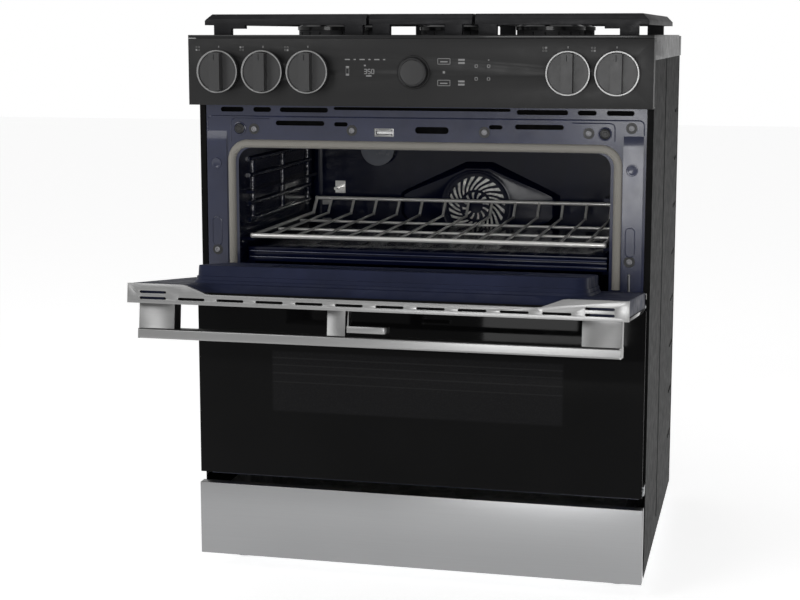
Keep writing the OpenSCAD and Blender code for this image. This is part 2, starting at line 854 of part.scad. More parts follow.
module door_handle() {
    t = 2;
    color("silver") placed() opened() {
        difference() {
            plate_x([-handle_hw, handle_hw], handle_y, handle_z, 3);
            block([-handle_hw - 1, handle_hw + 1], [handle_y[0] + t, handle_y[1] - t],
                [handle_z[0] + t, handle_z[1] - t]);
        }
        both_sides() difference() {
            block([handle_hw - 57, handle_hw], [handle_y[1] - 1, door_y], [747, 774]);
            block([handle_hw - 57 + t, handle_hw - t], [handle_y[1] + t, door_y + 1], [747 + t, 774 - t]);
        }
        block(post_x, [handle_y[1] - 1, door_y], [747, 774]);
    }
}

// Bar along X with rounded long edges
module plate_x(x, y, z, r) {
    block(x, [y[0] + r, y[1] - r], z);
    block(x, y, [z[0] + r, z[1] - r]);
    for (cy = [y[0] + r, y[1] - r], cz = [z[0] + r, z[1] - r]) rod_x(x, cy, cz, r);
}

module door_lever() {
    color("silver") placed() opened() {
        block([lever_x[0], lever_x[0] + lever_t], [lever_y[0] + 1, glass_in_y + 6],
            [lever_z[0] + 3, lever_z[1] - 3]);
        block([lever_x[0], lever_x[1] - lever_end_r], lever_y, lever_z);
        block([lever_x[0], lever_x[1]], lever_y, [lever_z[0], lever_z[1] - lever_end_r]);
        rod_y(lever_x[1] - lever_end_r, lever_y, lever_z[1] - lever_end_r, lever_end_r);
    }
}

module lower_door_glass() {
    color("black") placed() door_glass([lower_bottom, lower_top]);
}

module lower_door_liner() {
    color("midnightblue") placed() difference() {
        liner([lower_bottom + 2, lower_top - 2], lower_plug, [290, 396]);
        both_sides() {
            block([365.5, 372.5], [17, 23.5], [lower_top - 5, lower_top]);
            rod_x([360, 380], lower_pivot[0], lower_pivot[1], hinge_pin_r + fit);
        }
    }
}

module lower_inner_glass() {
    color("dimgray") placed()
        block([-215, 215], inner_glass_y, [278, 408]);
}

module hinge_arms() {
    y = upper_pivot[0];
    z = upper_pivot[1];
    color("silver") placed() both_sides() {
        block([366, 371.5], [y, y + 4.8], [430, z]);
        rod_x([366, 371.5], y, z, 4.8);
        rod_x([366, 375], y, z, pin_r);
        block([371, liner_hw - 2], [y, y + 4.8], [430, 465]);
    }
}

// ---------- drawer ----------

module drawer_front() {
    y = [door_y + 0.7, door_y + 20];
    z = [drawer_z, drawer_z + drawer_h];
    color("silver") placed() difference() {
        block([-drawer_hw, drawer_hw], y, z);
        block([-drawer_hw + 2, drawer_hw - 2], [y[0] + 2, y[1] + 1], [z[0] + 2, z[1] - 2]);
        block([-97, 97], [y[0] + 4, y[1] + 1], [z[1] - 10, z[1] + 1]);
    }
}

module drawer_box() {
    y0 = door_y + 20.2;
    color("gray") placed() {
        difference() {
            block([-344, 344], [y0, 560], [50, 142]);
            block([-343, 343], [y0 + 1, 559], [51, 143]);
        }
        both_sides() block([344 - eps, 349.5], [y0 + 40, 560], [86, 94]);
        both_sides() block([344 - eps, 372], [y0, y0 + 2], [50, 142]);
    }
}

module drawer_rails() {
    color("silver") placed() both_sides() difference() {
        block([346, 375.2], [70, 600], [78, 102]);
        block([345, 350.2], [69, 601], [84, 96]);
        block([352, 373], [69, 601], [80, 103]);
    }
}

base_pan();
leveling_feet();
left_side_panel();
right_side_panel();
back_panel();
cooktop();
rear_vent_trim();
control_panel();
control_board();
oven_cavity();
oven_front_frame();
door_gasket();
insulation();
oven_divider();
lower_rack();
fan_cover();
fan_motor();
oven_lamp();
lamp_lens();
temperature_sensor();
bake_burner();
broil_burner();
gas_manifold();
gas_valves();
burner_heads();
burner_caps();
gas_inlet();
power_inlet();
drawer_rails();
frame_screws();
door_latch();
hinge_brackets();
upper_rack();
convection_fan();
grate_left();
grate_center();
grate_right();
knob_1();
knob_2();
knob_3();
knob_4();
knob_5();
valve_stem_1();
valve_stem_2();
valve_stem_3();
valve_stem_4();
valve_stem_5();
dial();
upper_door_glass();
upper_door_liner();
upper_inner_glass();
top_cap();
door_handle();
door_lever();
lower_door_glass();
lower_door_liner();
lower_inner_glass();
hinge_arms();
drawer_front();
drawer_box();
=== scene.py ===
import json
import math

import bmesh
import bpy
from mathutils import Matrix, Vector


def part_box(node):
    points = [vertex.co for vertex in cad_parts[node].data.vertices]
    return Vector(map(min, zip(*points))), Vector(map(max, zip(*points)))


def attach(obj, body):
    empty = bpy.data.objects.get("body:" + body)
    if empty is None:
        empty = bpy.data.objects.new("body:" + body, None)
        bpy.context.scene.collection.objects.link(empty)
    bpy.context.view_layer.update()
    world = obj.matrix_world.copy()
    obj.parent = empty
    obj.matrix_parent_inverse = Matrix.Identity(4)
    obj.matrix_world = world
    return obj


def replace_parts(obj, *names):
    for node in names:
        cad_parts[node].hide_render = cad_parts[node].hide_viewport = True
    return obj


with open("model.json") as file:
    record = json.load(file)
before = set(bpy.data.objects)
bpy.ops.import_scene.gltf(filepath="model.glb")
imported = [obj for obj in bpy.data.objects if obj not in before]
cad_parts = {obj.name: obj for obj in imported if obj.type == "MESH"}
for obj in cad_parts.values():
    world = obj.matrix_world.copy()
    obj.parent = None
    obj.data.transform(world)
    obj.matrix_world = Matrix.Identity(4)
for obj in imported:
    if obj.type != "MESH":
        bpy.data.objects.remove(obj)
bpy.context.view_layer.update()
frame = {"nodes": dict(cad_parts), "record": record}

MM = 0.001

# ---------- places taken from the frame ----------

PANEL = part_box("control_panel")
PANEL_Y = PANEL[0].y
TOP_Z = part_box("cooktop")[1].z
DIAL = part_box("dial")
DIAL_X = (DIAL[0].x + DIAL[1].x) / 2
DIAL_Z = (DIAL[0].z + DIAL[1].z) / 2
KNOBS = ["knob_%d" % i for i in range(1, 6)]
JOINTS = {j["name"]: j for j in frame["record"]["behaviour"]["joints"]}


def door_matrix():
    """Turns the closed upper door to the angle it is stored at."""
    joint = JOINTS["upper_door"]
    pivot = Matrix.Translation(Vector(joint["pos_m"]))
    angle = math.radians(joint["range_deg"][1])
    return pivot @ Matrix.Rotation(angle, 4, "X") @ pivot.inverted()


OPEN = door_matrix()


# ---------- materials ----------


class Paint:
    """A procedural material: one Principled shader and the nodes that feed it."""

    def __init__(self, name, rough=0.5, metal=0.0, specular=0.5, coat=0.0):
        self.material = bpy.data.materials.new(name)
        self.material.use_nodes = True
        self.tree = self.material.node_tree
        self.shader = self.tree.nodes["Principled BSDF"]
        self.set("Roughness", rough)
        self.set("Metallic", metal)
        self.set("Specular IOR Level", specular)
        self.set("Coat Weight", coat)
        self.set("Coat Roughness", 0.08)
        self.coords = self.tree.nodes.new("ShaderNodeTexCoord").outputs["Object"]
        self.height = None

    def set(self, socket, value):
        self.shader.inputs[socket].default_value = value

    def link(self, output, target):
        self.tree.links.new(output, target)

    def scaled(self, scale):
        mapping = self.tree.nodes.new("ShaderNodeMapping")
        mapping.inputs["Scale"].default_value = scale
        self.link(self.coords, mapping.inputs["Vector"])
        return mapping.outputs["Vector"]

    def noise(self, scale, detail=4.0, stretch=(1, 1, 1), rough=0.55):
        node = self.tree.nodes.new("ShaderNodeTexNoise")
        node.inputs["Scale"].default_value = scale
        node.inputs["Detail"].default_value = detail
        node.inputs["Roughness"].default_value = rough
        self.link(self.scaled(stretch), node.inputs["Vector"])
        return node.outputs["Fac"]

    def cells(self, scale, output="Distance", stretch=(1, 1, 1)):
        node = self.tree.nodes.new("ShaderNodeTexVoronoi")
        node.inputs["Scale"].default_value = scale
        self.link(self.scaled(stretch), node.inputs["Vector"])
        return node.outputs[output]

    def ramp(self, value, stops):
        node = self.tree.nodes.new("ShaderNodeValToRGB")
        ramp = node.color_ramp
        while len(ramp.elements) < len(stops):
            ramp.elements.new(0.5)
        for element, (place, colour) in zip(ramp.elements, stops):
            element.position = place
            element.color = (*colour, 1.0) if len(colour) == 3 else colour
        self.link(value, node.inputs["Fac"])
        return node.outputs["Color"]

    def remap(self, value, low, high, out_low, out_high):
        node = self.tree.nodes.new("ShaderNodeMapRange")
        for socket, number in zip(("From Min", "From Max", "To Min", "To Max"),
                                  (low, high, out_low, out_high)):
            node.inputs[socket].default_value = number
        self.link(value, node.inputs["Value"])
        return node.outputs["Result"]

    def math(self, operation, a, b):
        node = self.tree.nodes.new("ShaderNodeMath")
        node.operation = operation
        for socket, value in zip(node.inputs, (a, b)):
            if isinstance(value, (int, float)):
                socket.default_value = value
            else:
                self.link(value, socket)
        return node.outputs["Value"]

    def axis(self, name):
        node = self.tree.nodes.new("ShaderNodeSeparateXYZ")
        self.link(self.coords, node.inputs["Vector"])
        return node.outputs[name]

    def mix(self, factor, a, b):
        node = self.tree.nodes.new("ShaderNodeMix")
        node.data_type = "RGBA"
        self.link(factor, node.inputs["Factor"])
        for socket, value in zip((node.inputs[6], node.inputs[7]), (a, b)):
            if isinstance(value, tuple):
                socket.default_value = (*value, 1.0)
            else:
                self.link(value, socket)
        return node.outputs[2]

    def colour(self, output):
        self.link(output, self.shader.inputs["Base Color"])

    def roughness(self, value, low, high):
        self.link(self.remap(value, 0.3, 0.7, low, high), self.shader.inputs["Roughness"])

    def bump(self, value, strength, distance):
        node = self.tree.nodes.new("ShaderNodeBump")
        node.inputs["Strength"].default_value = strength
        node.inputs["Distance"].default_value = distance
        self.link(value, node.inputs["Height"])
        if self.height is not None:
            self.link(self.height, node.inputs["Normal"])
        self.height = node.outputs["Normal"]
        self.link(self.height, self.shader.inputs["Normal"])


def shaded(base, spread):
    """A darker and a lighter neighbour of a colour."""
    return tuple(c * (1 - spread) for c in base), tuple(min(1.0, c * (1 + spread)) for c in base)


def satin(name, base, rough=0.4, spread=0.12, specular=0.5, metal=0.0, grain=900.0, coat=0.0):
    """Painted or moulded surface with a fine grain and slight cloudiness."""
    paint = Paint(name, rough, metal, specular, coat)
    cloud = paint.noise(9.0, 3.0)
    low, high = shaded(base, spread)
    paint.colour(paint.ramp(cloud, [(0.3, low), (0.7, high)]))
    paint.roughness(paint.noise(60.0, 5.0), rough * 0.88, rough * 1.12)
    paint.bump(paint.noise(grain, 2.0), 0.12, 0.0002)
    return paint.material


def enamel(name, base, speck, rough=0.12, specular=0.5, dots=520.0, coat=0.25):
    """Vitreous enamel: glossy, gently wavy, with fine light specks."""
    paint = Paint(name, rough, 0.0, specular, coat)
    low, high = shaded(base, 0.22)
    body = paint.ramp(paint.noise(14.0, 4.0), [(0.3, low), (0.72, high)])
    mask = paint.ramp(paint.cells(dots), [(0.06, (1, 1, 1)), (0.13, (0, 0, 0))])
    patches = paint.ramp(paint.noise(170.0, 2.0), [(0.52, (0, 0, 0)), (0.6, (1, 1, 1))])
    paint.colour(paint.mix(paint.math("MULTIPLY", mask, patches), body, speck))
    paint.roughness(paint.noise(40.0, 3.0), rough * 0.8, rough * 1.35)
    paint.bump(paint.noise(55.0, 2.0), 0.1, 0.0008)
    return paint.material


def brushed(name, base, rough=0.3):
    """Stainless sheet brushed along X."""
    paint = Paint(name, rough, 1.0)
    grain = paint.noise(5.0, 5.0, (1.2, 260, 260), 0.7)
    cloud = paint.noise(3.0, 2.0)
    low, high = shaded(base, 0.09)
    streaks = paint.ramp(grain, [(0.3, low), (0.7, high)])
    dim, lit = shaded(base, 0.04)
    broad = paint.ramp(cloud, [(0.35, dim), (0.65, lit)])
    half = paint.remap(cloud, 0.0, 1.0, 0.45, 0.55)
    paint.colour(paint.mix(half, streaks, broad))
    paint.roughness(grain, rough * 0.85, rough * 1.2)
    paint.bump(grain, 0.05, 0.0002)
    return paint.material


def chrome(name):
    """Bright plated wire."""
    paint = Paint(name, 0.2, 0.45, 0.8)
    paint.colour(paint.ramp(paint.noise(40.0), [(0.3, (0.86, 0.85, 0.82)), (0.7, (0.97, 0.96, 0.93))]))
    paint.roughness(paint.noise(120.0), 0.1, 0.22)
    return paint.material


def crinkled(name, base):
    """Glossy enamel over pressed steel that catches broken highlights."""
    paint = Paint(name, 0.1, 0.0, 0.6, 0.3)
    low, high = shaded(base, 0.3)
    paint.colour(paint.ramp(paint.noise(18.0, 5.0), [(0.3, low), (0.7, high)]))
    paint.roughness(paint.noise(60.0), 0.06, 0.2)
    paint.bump(paint.noise(34.0, 3.0), 0.9, 0.006)
    return paint.material


def cast_iron(name):
    """Enamelled cast iron: near black, matt and slightly pebbled."""
    paint = Paint(name, 0.5, 0.0, 0.22)
    tones = [(0.3, (0.004, 0.004, 0.005)), (0.7, (0.011, 0.011, 0.013))]
    paint.colour(paint.ramp(paint.noise(30.0, 6.0), tones))
    paint.roughness(paint.noise(90.0, 5.0), 0.34, 0.52)
    paint.bump(paint.noise(420.0, 4.0), 0.35, 0.0006)
    paint.bump(paint.cells(260.0), 0.12, 0.0005)
    return paint.material


# Height and half thickness of each faint line behind the lower window, in millimetres
WINDOW_LINES = ((378, 1.6), (366, 1.2), (352, 1.6), (337, 1.2))
WINDOW_EDGE = 4 * MM


def window_mask(paint, low, high):
    """1 inside the window, falling to 0 across its soft edge."""
    inside = None
    for axis, a, b in (("X", low.x, high.x), ("Z", low.z, high.z)):
        middle, half = (a + b) / 2, (b - a) / 2
        off = paint.math("ABSOLUTE", paint.math("SUBTRACT", paint.axis(axis), middle), 0.0)
        step = paint.remap(off, half - WINDOW_EDGE, half, 1.0, 0.0)
        inside = step if inside is None else paint.math("MULTIPLY", inside, step)
    return inside


def window_dots(paint):
    """The window's dot pattern, with faint lines for the rack behind it."""
    tones = [(0.25, (0.009, 0.009, 0.0095)), (0.4, (0.0055, 0.0055, 0.006))]
    dots = paint.ramp(paint.cells(420.0), tones)
    lines = None
    for middle, half in WINDOW_LINES:
        off = paint.math("ABSOLUTE", paint.math("SUBTRACT", paint.axis("Z"), middle * MM), 0.0)
        line = paint.remap(off, half * MM * 0.4, half * MM, 1.0, 0.0)
        lines = line if lines is None else paint.math("MAXIMUM", lines, line)
    return paint.mix(paint.math("MULTIPLY", lines, 0.45), dots, (0.018, 0.018, 0.0185))


def black_glass(name, window=None):
    """Glossy black glass; the window is a faintly lighter dotted area."""
    paint = Paint(name, 0.05, 0.0, 0.06, 0.0)
    tones = [(0.3, (0.0016, 0.0016, 0.0017)), (0.7, (0.003, 0.003, 0.0032))]
    dark = paint.ramp(paint.noise(4.0, 2.0), tones)
    if window:
        dark = paint.mix(window_mask(paint, *window), dark, window_dots(paint))
    paint.colour(dark)
    paint.roughness(paint.noise(25.0, 3.0), 0.03, 0.08)
    paint.bump(paint.noise(6.0, 1.0), 0.03, 0.002)
    return paint.material


def clear_glass(name, tint, rough=0.03, transmission=0.85):
    paint = Paint(name, rough, 0.0, 0.5)
    paint.set("Transmission Weight", transmission)
    low, high = shaded(tint, 0.06)
    paint.colour(paint.ramp(paint.noise(12.0), [(0.3, low), (0.7, high)]))
    paint.roughness(paint.noise(80.0), rough * 0.7, rough * 1.4)
    return paint.material


def braid(name):
    """Woven glass-fibre rope."""
    paint = Paint(name, 0.85, 0.0, 0.3)
    weave = paint.math("MULTIPLY", wave(paint, 210.0, (1, 1, 1)), wave(paint, 210.0, (-1, 1, 1)))
    paint.colour(paint.ramp(weave, [(0.1, (0.20, 0.19, 0.17)), (0.7, (0.40, 0.385, 0.35))]))
    paint.bump(weave, 0.5, 0.0010)
    paint.bump(paint.noise(1400.0, 2.0), 0.2, 0.0003)
    return paint.material


def wave(paint, scale, stretch):
    node = paint.tree.nodes.new("ShaderNodeTexWave")
    node.bands_direction = "DIAGONAL"
    node.inputs["Scale"].default_value = scale
    node.inputs["Distortion"].default_value = 0.6
    paint.link(paint.scaled(stretch), node.inputs["Vector"])
    return node.outputs["Fac"]


def galvanised(name):
    """Zinc coated sheet with its spangle."""
    paint = Paint(name, 0.42, 0.9)
    flakes = paint.cells(70.0, "Color")
    grey = paint.ramp(flakes, [(0.2, (0.34, 0.35, 0.36)), (0.8, (0.50, 0.51, 0.52))])
    paint.colour(grey)
    paint.roughness(paint.noise(30.0, 5.0), 0.34, 0.52)
    paint.bump(paint.noise(300.0), 0.06, 0.0003)
    return paint.material


def ink(name):
    """Printed marks on the control panel."""
    paint = Paint(name, 0.5, 0.0, 0.3)
    paint.colour(paint.ramp(paint.noise(500.0), [(0.3, (0.17, 0.17, 0.17)), (0.7, (0.24, 0.24, 0.24))]))
    return paint.material


LOWER_WINDOW = (Vector((-247 * MM, 0, 285 * MM)), Vector((247 * MM, 0, 391 * MM)))
PAINTS = {
    "black_enamel": enamel("black_enamel", (0.004, 0.004, 0.0045), (0.03, 0.03, 0.033), 0.3, 0.16, 800.0),
    "black_satin_panel": satin("black_satin_panel", (0.0085, 0.0085, 0.0087), 0.42, 0.1, 0.26),
    "side_black": satin("side_black", (0.0026, 0.0026, 0.0027), 0.55, 0.15, 0.06),
    "blue_enamel": enamel("blue_enamel", (0.016, 0.020, 0.048), (0.06, 0.068, 0.12), 0.2, 0.42),
    "cavity_enamel": enamel("cavity_enamel", (0.0025, 0.0042, 0.018), (0.03, 0.036, 0.07),
                            0.16, 0.16, 300.0, 0.04),
    "crinkled_enamel": crinkled("crinkled_enamel", (0.004, 0.0065, 0.022)),
    "liner_enamel": enamel("liner_enamel", (0.013, 0.017, 0.042), (0.05, 0.058, 0.10),
                           0.5, 0.14, 520.0, 0.0),
    # Painted highlight: a lighter enamel for the divider's front edge lines
    "highlight_enamel": enamel("highlight_enamel", (0.045, 0.052, 0.10), (0.09, 0.10, 0.16), 0.2, 0.5),
    "fan_bright": satin("fan_bright", (0.80, 0.79, 0.76), 0.28, 0.1, 0.6, 0.35, 500.0),
    "burner_dark": satin("burner_dark", (0.03, 0.03, 0.032), 0.55, 0.2, 0.3, 0.2, 500.0),
    "lamp_grey": satin("lamp_grey", (0.10, 0.11, 0.14), 0.25, 0.12, 0.5),
    "galvanised": galvanised("galvanised"),
    "stainless": brushed("stainless", (0.315, 0.317, 0.322), 0.34),
    "bright_steel": brushed("bright_steel", (0.25, 0.25, 0.249), 0.34),
    "chrome_wire": chrome("chrome_wire"),
    "cast_iron": cast_iron("cast_iron"),
    "aluminium_cast": satin("aluminium_cast", (0.40, 0.40, 0.41), 0.45, 0.1, 0.5, 1.0, 500.0),
    "black_glass": black_glass("black_glass"),
    "window_glass": black_glass("window_glass", LOWER_WINDOW),
    "clear_glass": clear_glass("clear_glass", (0.25, 0.27, 0.30)),
    "frosted_glass": clear_glass("frosted_glass", (0.85, 0.84, 0.80), 0.35, 0.5),
    "gasket_glass": braid("gasket_glass"),
    "insulation_wool": satin("insulation_wool", (0.62, 0.52, 0.26), 0.9, 0.2, 0.1, 0.0, 250.0),
    "brass_valve": satin("brass_valve", (0.60, 0.44, 0.18), 0.3, 0.1, 0.5, 1.0),
    "board_green": satin("board_green", (0.02, 0.12, 0.045), 0.4),
    "black_plastic": satin("black_plastic", (0.012, 0.012, 0.0125), 0.42, 0.12, 0.45, 0.0, 1400.0),
    "knob_black": satin("knob_black", (0.021, 0.021, 0.0215), 0.40, 0.08, 0.5, 0.0, 1600.0),
    "ceramic_white": satin("ceramic_white", (0.70, 0.68, 0.62), 0.25, 0.05),
    "motor_grey": satin("motor_grey", (0.20, 0.20, 0.21), 0.5, 0.1, 0.5, 0.6),
    "pipe_steel": satin("pipe_steel", (0.24, 0.24, 0.25), 0.45, 0.15, 0.5, 0.8),
    "ink": ink("ink"),
    # Painted shade: matt black set where slots and gaps show only shade
    "painted_shade_black": satin("painted_shade_black", (0.0025, 0.0025, 0.003), 0.7, 0.2, 0.1),
}
SLOTS = {s["node"]: s["material_slot"] for s in frame["record"]["subparts"]}
BODIES = {n: b for b, nodes in frame["record"]["behaviour"]["bodies"].items() for n in nodes}
# Nodes whose look differs from that of their slot
SPECIAL = {"oven_cavity": "cavity_enamel", "fan_cover": "cavity_enamel", "oven_divider": "cavity_enamel",
           "convection_fan": "fan_bright", "burner_heads": "burner_dark", "lamp_lens": "lamp_grey"}


def paint_cad_nodes():
    for node, piece in frame["nodes"].items():
        name = SPECIAL.get(node, SLOTS[node])
        piece.data.materials.clear()
        piece.data.materials.append(PAINTS[name])


# ---------- mesh building ----------


def add_piece(name, bm, paint, body, smooth=32.0):
    """Turns a bmesh into a piece that rides on a body."""
    mesh = bpy.data.meshes.new(name)
    bmesh.ops.recalc_face_normals(bm, faces=bm.faces)
    bm.to_mesh(mesh)
    bm.free()
    mesh.materials.append(PAINTS[paint])
    for polygon in mesh.polygons:
        polygon.use_smooth = True
    mesh.set_sharp_from_angle(angle=math.radians(smooth))
    piece = bpy.data.objects.new(name, mesh)
    bpy.context.scene.collection.objects.link(piece)
    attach(piece, body)
    return piece


def add_box(bm, low, high):
    """A closed box between two corners."""
    corners = [bm.verts.new((x, y, z)) for x in (low[0], high[0])
               for y in (low[1], high[1]) for z in (low[2], high[2])]
    for quad in ((0, 1, 3, 2), (4, 6, 7, 5), (0, 4, 5, 1), (2, 3, 7, 6), (0, 2, 6, 4), (1, 5, 7, 3)):
        bm.faces.new([corners[i] for i in quad])


def bevel_sharp(bm, width, segments=2, angle=30.0):
    """Rounds every edge that is sharper than the angle."""
    limit = math.radians(angle)
    sharp = [e for e in bm.edges if len(e.link_faces) == 2 and e.calc_face_angle(0.0) > limit]
    bmesh.ops.bevel(bm, geom=sharp, offset=width, segments=segments, profile=0.5,
                    affect="EDGES", clamp_overlap=True)


def rounded_box(bm, low, high, width, segments=3):
    """A box with bevelled edges, added to bm."""
    part = bmesh.new()
    add_box(part, low, high)
    bevel_sharp(part, width, segments)
    join(bm, part)


def join(bm, part, matrix=None):
    """Adds part's mesh to bm."""
    if matrix is not None:
        part.transform(matrix)
    mesh = bpy.data.meshes.new("part")
    part.to_mesh(mesh)
    part.free()
    bm.from_mesh(mesh)
    bpy.data.meshes.remove(mesh)


def softened(node, width, paint=None, segments=2, angle=40.0):
    """A CAD node with its edges rounded, standing for the node."""
    bm = bmesh.new()
    bm.from_mesh(frame["nodes"][node].data)
    bmesh.ops.remove_doubles(bm, verts=bm.verts, dist=2e-6)
    bmesh.ops.dissolve_limit(bm, angle_limit=math.radians(0.6), verts=bm.verts, edges=bm.edges)
    bevel_sharp(bm, width, segments, angle)
    piece = add_piece(node + "_soft", bm, paint or SLOTS[node], BODIES[node])
    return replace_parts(piece, node)


def lathe(bm, profile, centre, axis="Y", steps=72):
    """Revolves (radius, height) points about an axis through centre."""
    rings = []
    for radius, height in profile:
        if radius <= 0:
            rings.append([bm.verts.new(turned(centre, 0.0, height, 0.0, axis))])
            continue
        rings.append([bm.verts.new(turned(centre, radius, height, 2 * math.pi * i / steps, axis))
                      for i in range(steps)])
    for a, b in zip(rings, rings[1:]):
        for i in range(steps):
            j = (i + 1) % steps
            quad = [a[i % len(a)], a[j % len(a)], b[j % len(b)], b[i % len(b)]]
            corners = list(dict.fromkeys(quad))
            if len(corners) > 2:
                bm.faces.new(corners)


def turned(centre, radius, height, angle, axis):
    """A point at a radius, height and angle about an axis through centre."""
    across, up = radius * math.cos(angle), radius * math.sin(angle)
    if axis == "Y":
        return (centre[0] + across, centre[1] + height, centre[2] + up)
    return (centre[0] + across, centre[1] + up, centre[2] + height)


def bridge(bm, first, second):
    """A solid between two flat outlines that have the same number of points."""
    a = [bm.verts.new(p) for p in first]
    b = [bm.verts.new(p) for p in second]
    bm.faces.new(a)
    bm.faces.new(b)
    for i in range(len(a)):
        j = (i + 1) % len(a)
        bm.faces.new((a[i], a[j], b[j], b[i]))


def prism(bm, outline, y0, y1):
    """Extrudes an outline of (x, z) points along Y."""
    bridge(bm, [(x, y0, z) for x, z in outline], [(x, y1, z) for x, z in outline])


def arc(centre, radius, start, end, steps):
    """(x, z) points on an arc, angles in degrees."""
    points = []
    for i in range(steps + 1):
        a = math.radians(start + (end - start) * i / steps)
        points.append((centre[0] + radius * math.cos(a), centre[1] + radius * math.sin(a)))
    return points


def round_rectangle(low, high, radius, steps=8):
    """(x, z) outline with round corners."""
    (x0, z0), (x1, z1) = low, high
    points = []
    for cx, cz, start in ((x1 - radius, z0 + radius, -90), (x1 - radius, z1 - radius, 0),
                          (x0 + radius, z1 - radius, 90), (x0 + radius, z0 + radius, 180)):
        points += arc((cx, cz), radius, start, start + 90, steps)
    return points


def tube_mesh(bm, points, radius, sides=12, closed=False):
    """Sweeps a circle along points."""
    points = [Vector(p) for p in points]
    count = len(points)
    rings = []
    for i, point in enumerate(points):
        before = points[i - 1] if i or closed else points[0]
        after = points[(i + 1) % count] if i < count - 1 or closed else points[-1]
        ahead = (after - before).normalized()
        side = ahead.orthogonal().normalized() if not rings else side_on(ahead, side)
        up = ahead.cross(side)
        rings.append([bm.verts.new(point + radius * (side * math.cos(t) + up * math.sin(t)))
                      for t in (2 * math.pi * k / sides for k in range(sides))])
    pairs = list(zip(rings, rings[1:])) + ([(rings[-1], rings[0])] if closed else [])
    for a, b in pairs:
        for k in range(sides):
            bm.faces.new((a[k], a[(k + 1) % sides], b[(k + 1) % sides], b[k]))
    if not closed:
        bm.faces.new(rings[0])
        bm.faces.new(rings[-1])


def side_on(ahead, side):
    """The last ring's side vector, made square to the new direction."""
    return (side - ahead * side.dot(ahead)).normalized()


def bent(points, radius, steps=6):
    """Replaces a path's corners with arcs."""
    points = [Vector(p) for p in points]
    path = [points[0]]
    for before, corner, after in zip(points, points[1:], points[2:]):
        a = corner + (before - corner).normalized() * radius
        b = corner + (after - corner).normalized() * radius
        for i in range(steps + 1):
            t = i / steps
            path.append(a * (1 - t) ** 2 + corner * 2 * t * (1 - t) + b * t * t)
    path.append(points[-1])
    return path


# ---------- places in millimetres ----------


def at(x, y, z):
    """Millimetres from the middle, the control panel's face and the floor."""
    return Vector((x * MM, PANEL_Y + y * MM, z * MM))


def smooth_step(value, start, end):
    """0 before start, 1 after end and an even curve between."""
    t = min(1.0, max(0.0, (value - start) / (end - start)))
    return t * t * (3 - 2 * t)


def dense_rectangle(half, z0, z1, radius, across=48, up=8, steps=6):
    """Round rectangle about x = 0, with extra points along its sides."""
    corners = ((half - radius, z0 + radius, -90), (half - radius, z1 - radius, 0),
               (radius - half, z1 - radius, 90), (radius - half, z0 + radius, 180))
    bends = [arc((cx, cz), radius, start, start + 90, steps) for cx, cz, start in corners]
    points = []
    for i, bend in enumerate(bends):
        points += bend
        (ax, az), (bx, bz) = bend[-1], bends[(i + 1) % 4][0]
        count = across if i % 2 else up
        points += [(ax + (bx - ax) * k / count, az + (bz - az) * k / count) for k in range(1, count)]
    return points


def loft(bm, loops, closed=False):
    """Skins loops that have the same number of points."""
    rings = [[bm.verts.new(p) for p in loop] for loop in loops]
    pairs = list(zip(rings, rings[1:])) + ([(rings[-1], rings[0])] if closed else [])
    for a, b in pairs:
        for i in range(len(a)):
            j = (i + 1) % len(a)
            bm.faces.new((a[i], a[j], b[j], b[i]))


def extrude_x(bm, outline, x0, x1):
    """Extrudes an outline of (y, z) millimetres along X."""
    bridge(bm, [at(x0, y, z) for y, z in outline], [at(x1, y, z) for y, z in outline])


# ---------- door liners ----------

FLANGE_Y = 42.0
PLUG_STEPS = ((15, 42.0), (12, 45.8), (11, 46.4), (7.8, 46.7), (7.2, 47.4), (6.6, 51.6), (6, 52.3),
              (2.2, 52.7), (1.5, 53.5), (0.2, 67.4), (-1, 68.7), (-3, 69.0))
LINER_HW = 373.9
LINER_SHEET = 1.2
SKIRT_Y = 30.0
WINDOW_HW = 200
DIP_DEPTH = 13.5
LINER_SLOTS = ((-238, -193), (-138, -95), (24, 131), (184, 232))


def liner_rings(outer, plug, window):
    """Rings of (half width, low z, high z, corner radius, y), from the skirt to the window."""
    z0, z1 = outer
    rings = [(LINER_HW, z0, z1, 3, 17.8), (LINER_HW, z0, z1, 3, 40.0),
             (373.3, z0 + 0.6, z1 - 0.6, 3, 41.6), (372, z0 + 2, z1 - 2, 4, FLANGE_Y)]
    steps = [(304 + 0.4 * d, plug[0] + 10 - d * 2 / 3, plug[1] - 10 + d, 20 + d, y) for d, y in PLUG_STEPS]
    a, b = rings[-1], steps[0]
    rings += [tuple(p + (q - p) * k / 9 for p, q in zip(a, b)) for k in range(1, 9)]
    rings += steps
    rings += [(WINDOW_HW + 2, window[0] - 2, window[1] + 2, 12, 69.0), (WINDOW_HW, *window, 10, 68.3)]
    return rings


def thinned(ring):
    """The same ring on the back face of the sheet."""
    half, z0, z1, radius, y = ring
    t = LINER_SHEET
    return half - t, z0 + t, z1 - t, max(radius - t, 1.5), y - (t if y > SKIRT_Y else 0.0)


def liner_loop(ring, plug_top, dip):
    """Points of one ring, sunk by dip in the middle above the plug."""
    half, z0, z1, radius, y = ring
    loop = []
    for x, z in dense_rectangle(half, z0, z1, radius):
        sink = dip * smooth_step(-abs(x), -289, -245) * smooth_step(z, plug_top + 10, plug_top + 26)
        loop.append(at(x, y - (sink if y > SKIRT_Y else 0.0), z))
    return loop


def build_liner(node, outer, plug, window, dip, matrix=None):
    """Sheet liner with its stepped plug, drawn as one closed shell."""
    front = liner_rings(outer, plug, window)
    back = [thinned(ring) for ring in front[:-2]]
    back.append((WINDOW_HW, *window, 10, 67.8))
    bm = bmesh.new()
    loft(bm, [liner_loop(r, plug[1], dip) for r in front + back[::-1]], closed=True)
    if matrix is not None:
        bm.transform(matrix)
    piece = add_piece(node + "_sheet", bm, "liner_enamel", BODIES[node], 40)
    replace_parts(piece, node)


